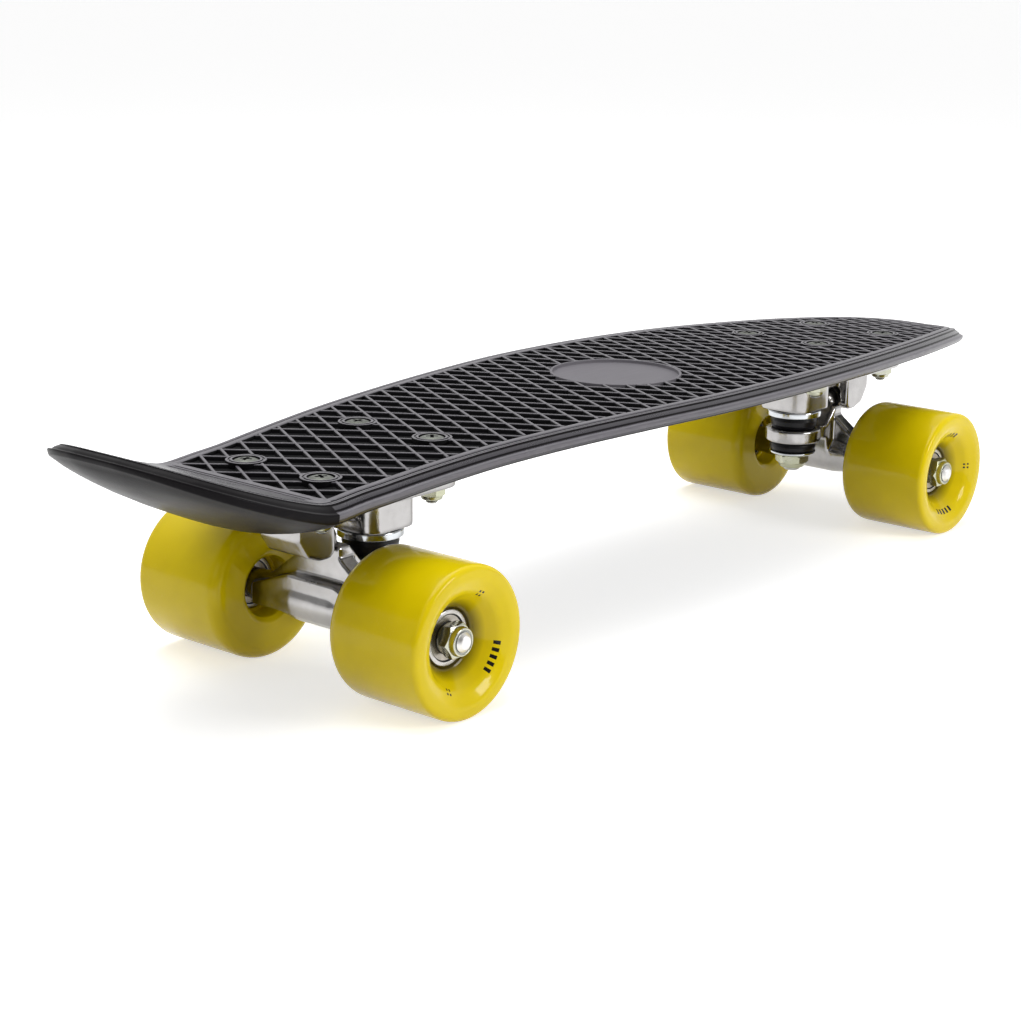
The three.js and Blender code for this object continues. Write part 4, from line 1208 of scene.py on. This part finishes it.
def make_stage():
    """Pale floor, clear from below, that keeps its shadow under a world that the camera sees white."""
    bm = bmesh.new()
    bmesh.ops.create_grid(bm, x_segments=1, y_segments=1, size=FLOOR_HALF)
    floor = plain_piece(bm, "floor")
    pale = Finish("pale_floor", {"Base Color": FLOOR_COLOUR, "Roughness": 0.8, "Emission Strength": 1.0})
    camera, glossy = pale.seen_rays()
    seen = camera.maths("MAXIMUM", glossy)
    pale.feed("Emission Color", pale.colours(seen, (0, 0, 0, 1), FLOOR_GLOW))
    pale.feed("Alpha", 1 - pale.node("ShaderNodeNewGeometry", output="Backfacing"))
    floor.data.materials.append(pale.material)
    world = bpy.data.worlds.new("studio")
    bpy.context.scene.world = world
    sky = Web(world, "Background")
    sky.shader.inputs["Color"].default_value = (1, 1, 1, 1)
    camera, glossy = sky.seen_rays()
    towards = sky.node("ShaderNodeTexCoord", output="Generated")
    product = {"operation": "DOT_PRODUCT"}
    side = sky.node("ShaderNodeVectorMath", product, (towards, BACKDROP_SIDE), "Value")
    mirrored = sky.between(side, *BACKDROP_BLEND, REFLECTED_FRONT, 1)
    lighting = (1 - camera.maths("MAXIMUM", glossy)) * WORLD_LIGHT
    sky.feed("Strength", camera + glossy * mirrored + lighting)


def make_lamp(name, place, aim, size, watts):
    lamp = bpy.data.lights.new(name, "AREA")
    lamp.shape = "RECTANGLE"
    lamp.size, lamp.size_y = size
    lamp.energy = watts
    holder = bpy.data.objects.new(name, lamp)
    holder.location = place
    holder.rotation_mode = "QUATERNION"
    holder.rotation_quaternion = (Vector(aim) - Vector(place)).to_track_quat("-Z", "Y")
    bpy.context.scene.collection.objects.link(holder)


def make_camera():
    azimuth, elevation, roll = map(math.radians, (CAMERA_AZIMUTH, CAMERA_ELEVATION, CAMERA_ROLL))
    level = math.cos(elevation)
    back = Vector((math.sin(azimuth) * level, -math.cos(azimuth) * level, math.sin(elevation)))
    right = Vector((0, 0, 1)).cross(back).normalized()
    up = back.cross(right)
    level_right = right * math.cos(roll) + up * math.sin(roll)
    level_up = up * math.cos(roll) - right * math.sin(roll)
    camera = bpy.data.cameras.new("camera")
    camera.lens = CAMERA_LENS
    camera.sensor_width = CAMERA_SENSOR
    camera.clip_start, camera.clip_end = CAMERA_CLIP
    holder = bpy.data.objects.new("camera", camera)
    turn = Matrix((level_right, level_up, back)).transposed()
    holder.matrix_world = Matrix.Translation(CAMERA_PLACE) @ turn.to_4x4()
    bpy.context.scene.collection.objects.link(holder)
    bpy.context.scene.camera = holder


make_camera()
make_stage()
for lamp_facts in LAMPS:
    make_lamp(*lamp_facts)
make_deck_body()
make_waffle()
make_plate()
make_collars()
make_underside()
for truck_name, screw_name in SCREW_PLACES:
    make_screw(truck_name, screw_name)
    make_screw_nut(truck_name, screw_name)
for truck_name in TRUCKS:
    make_truck(truck_name)

# Solids that are still shown, such as the pivot cups, wear a finish too
for node_name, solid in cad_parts.items():
    if not solid.hide_render:
        solid.data.materials.clear()
        solid.data.materials.append(RUBBER if "pivot_cup" in node_name else ZINC)

bpy.context.scene.view_settings.view_transform = "Standard"
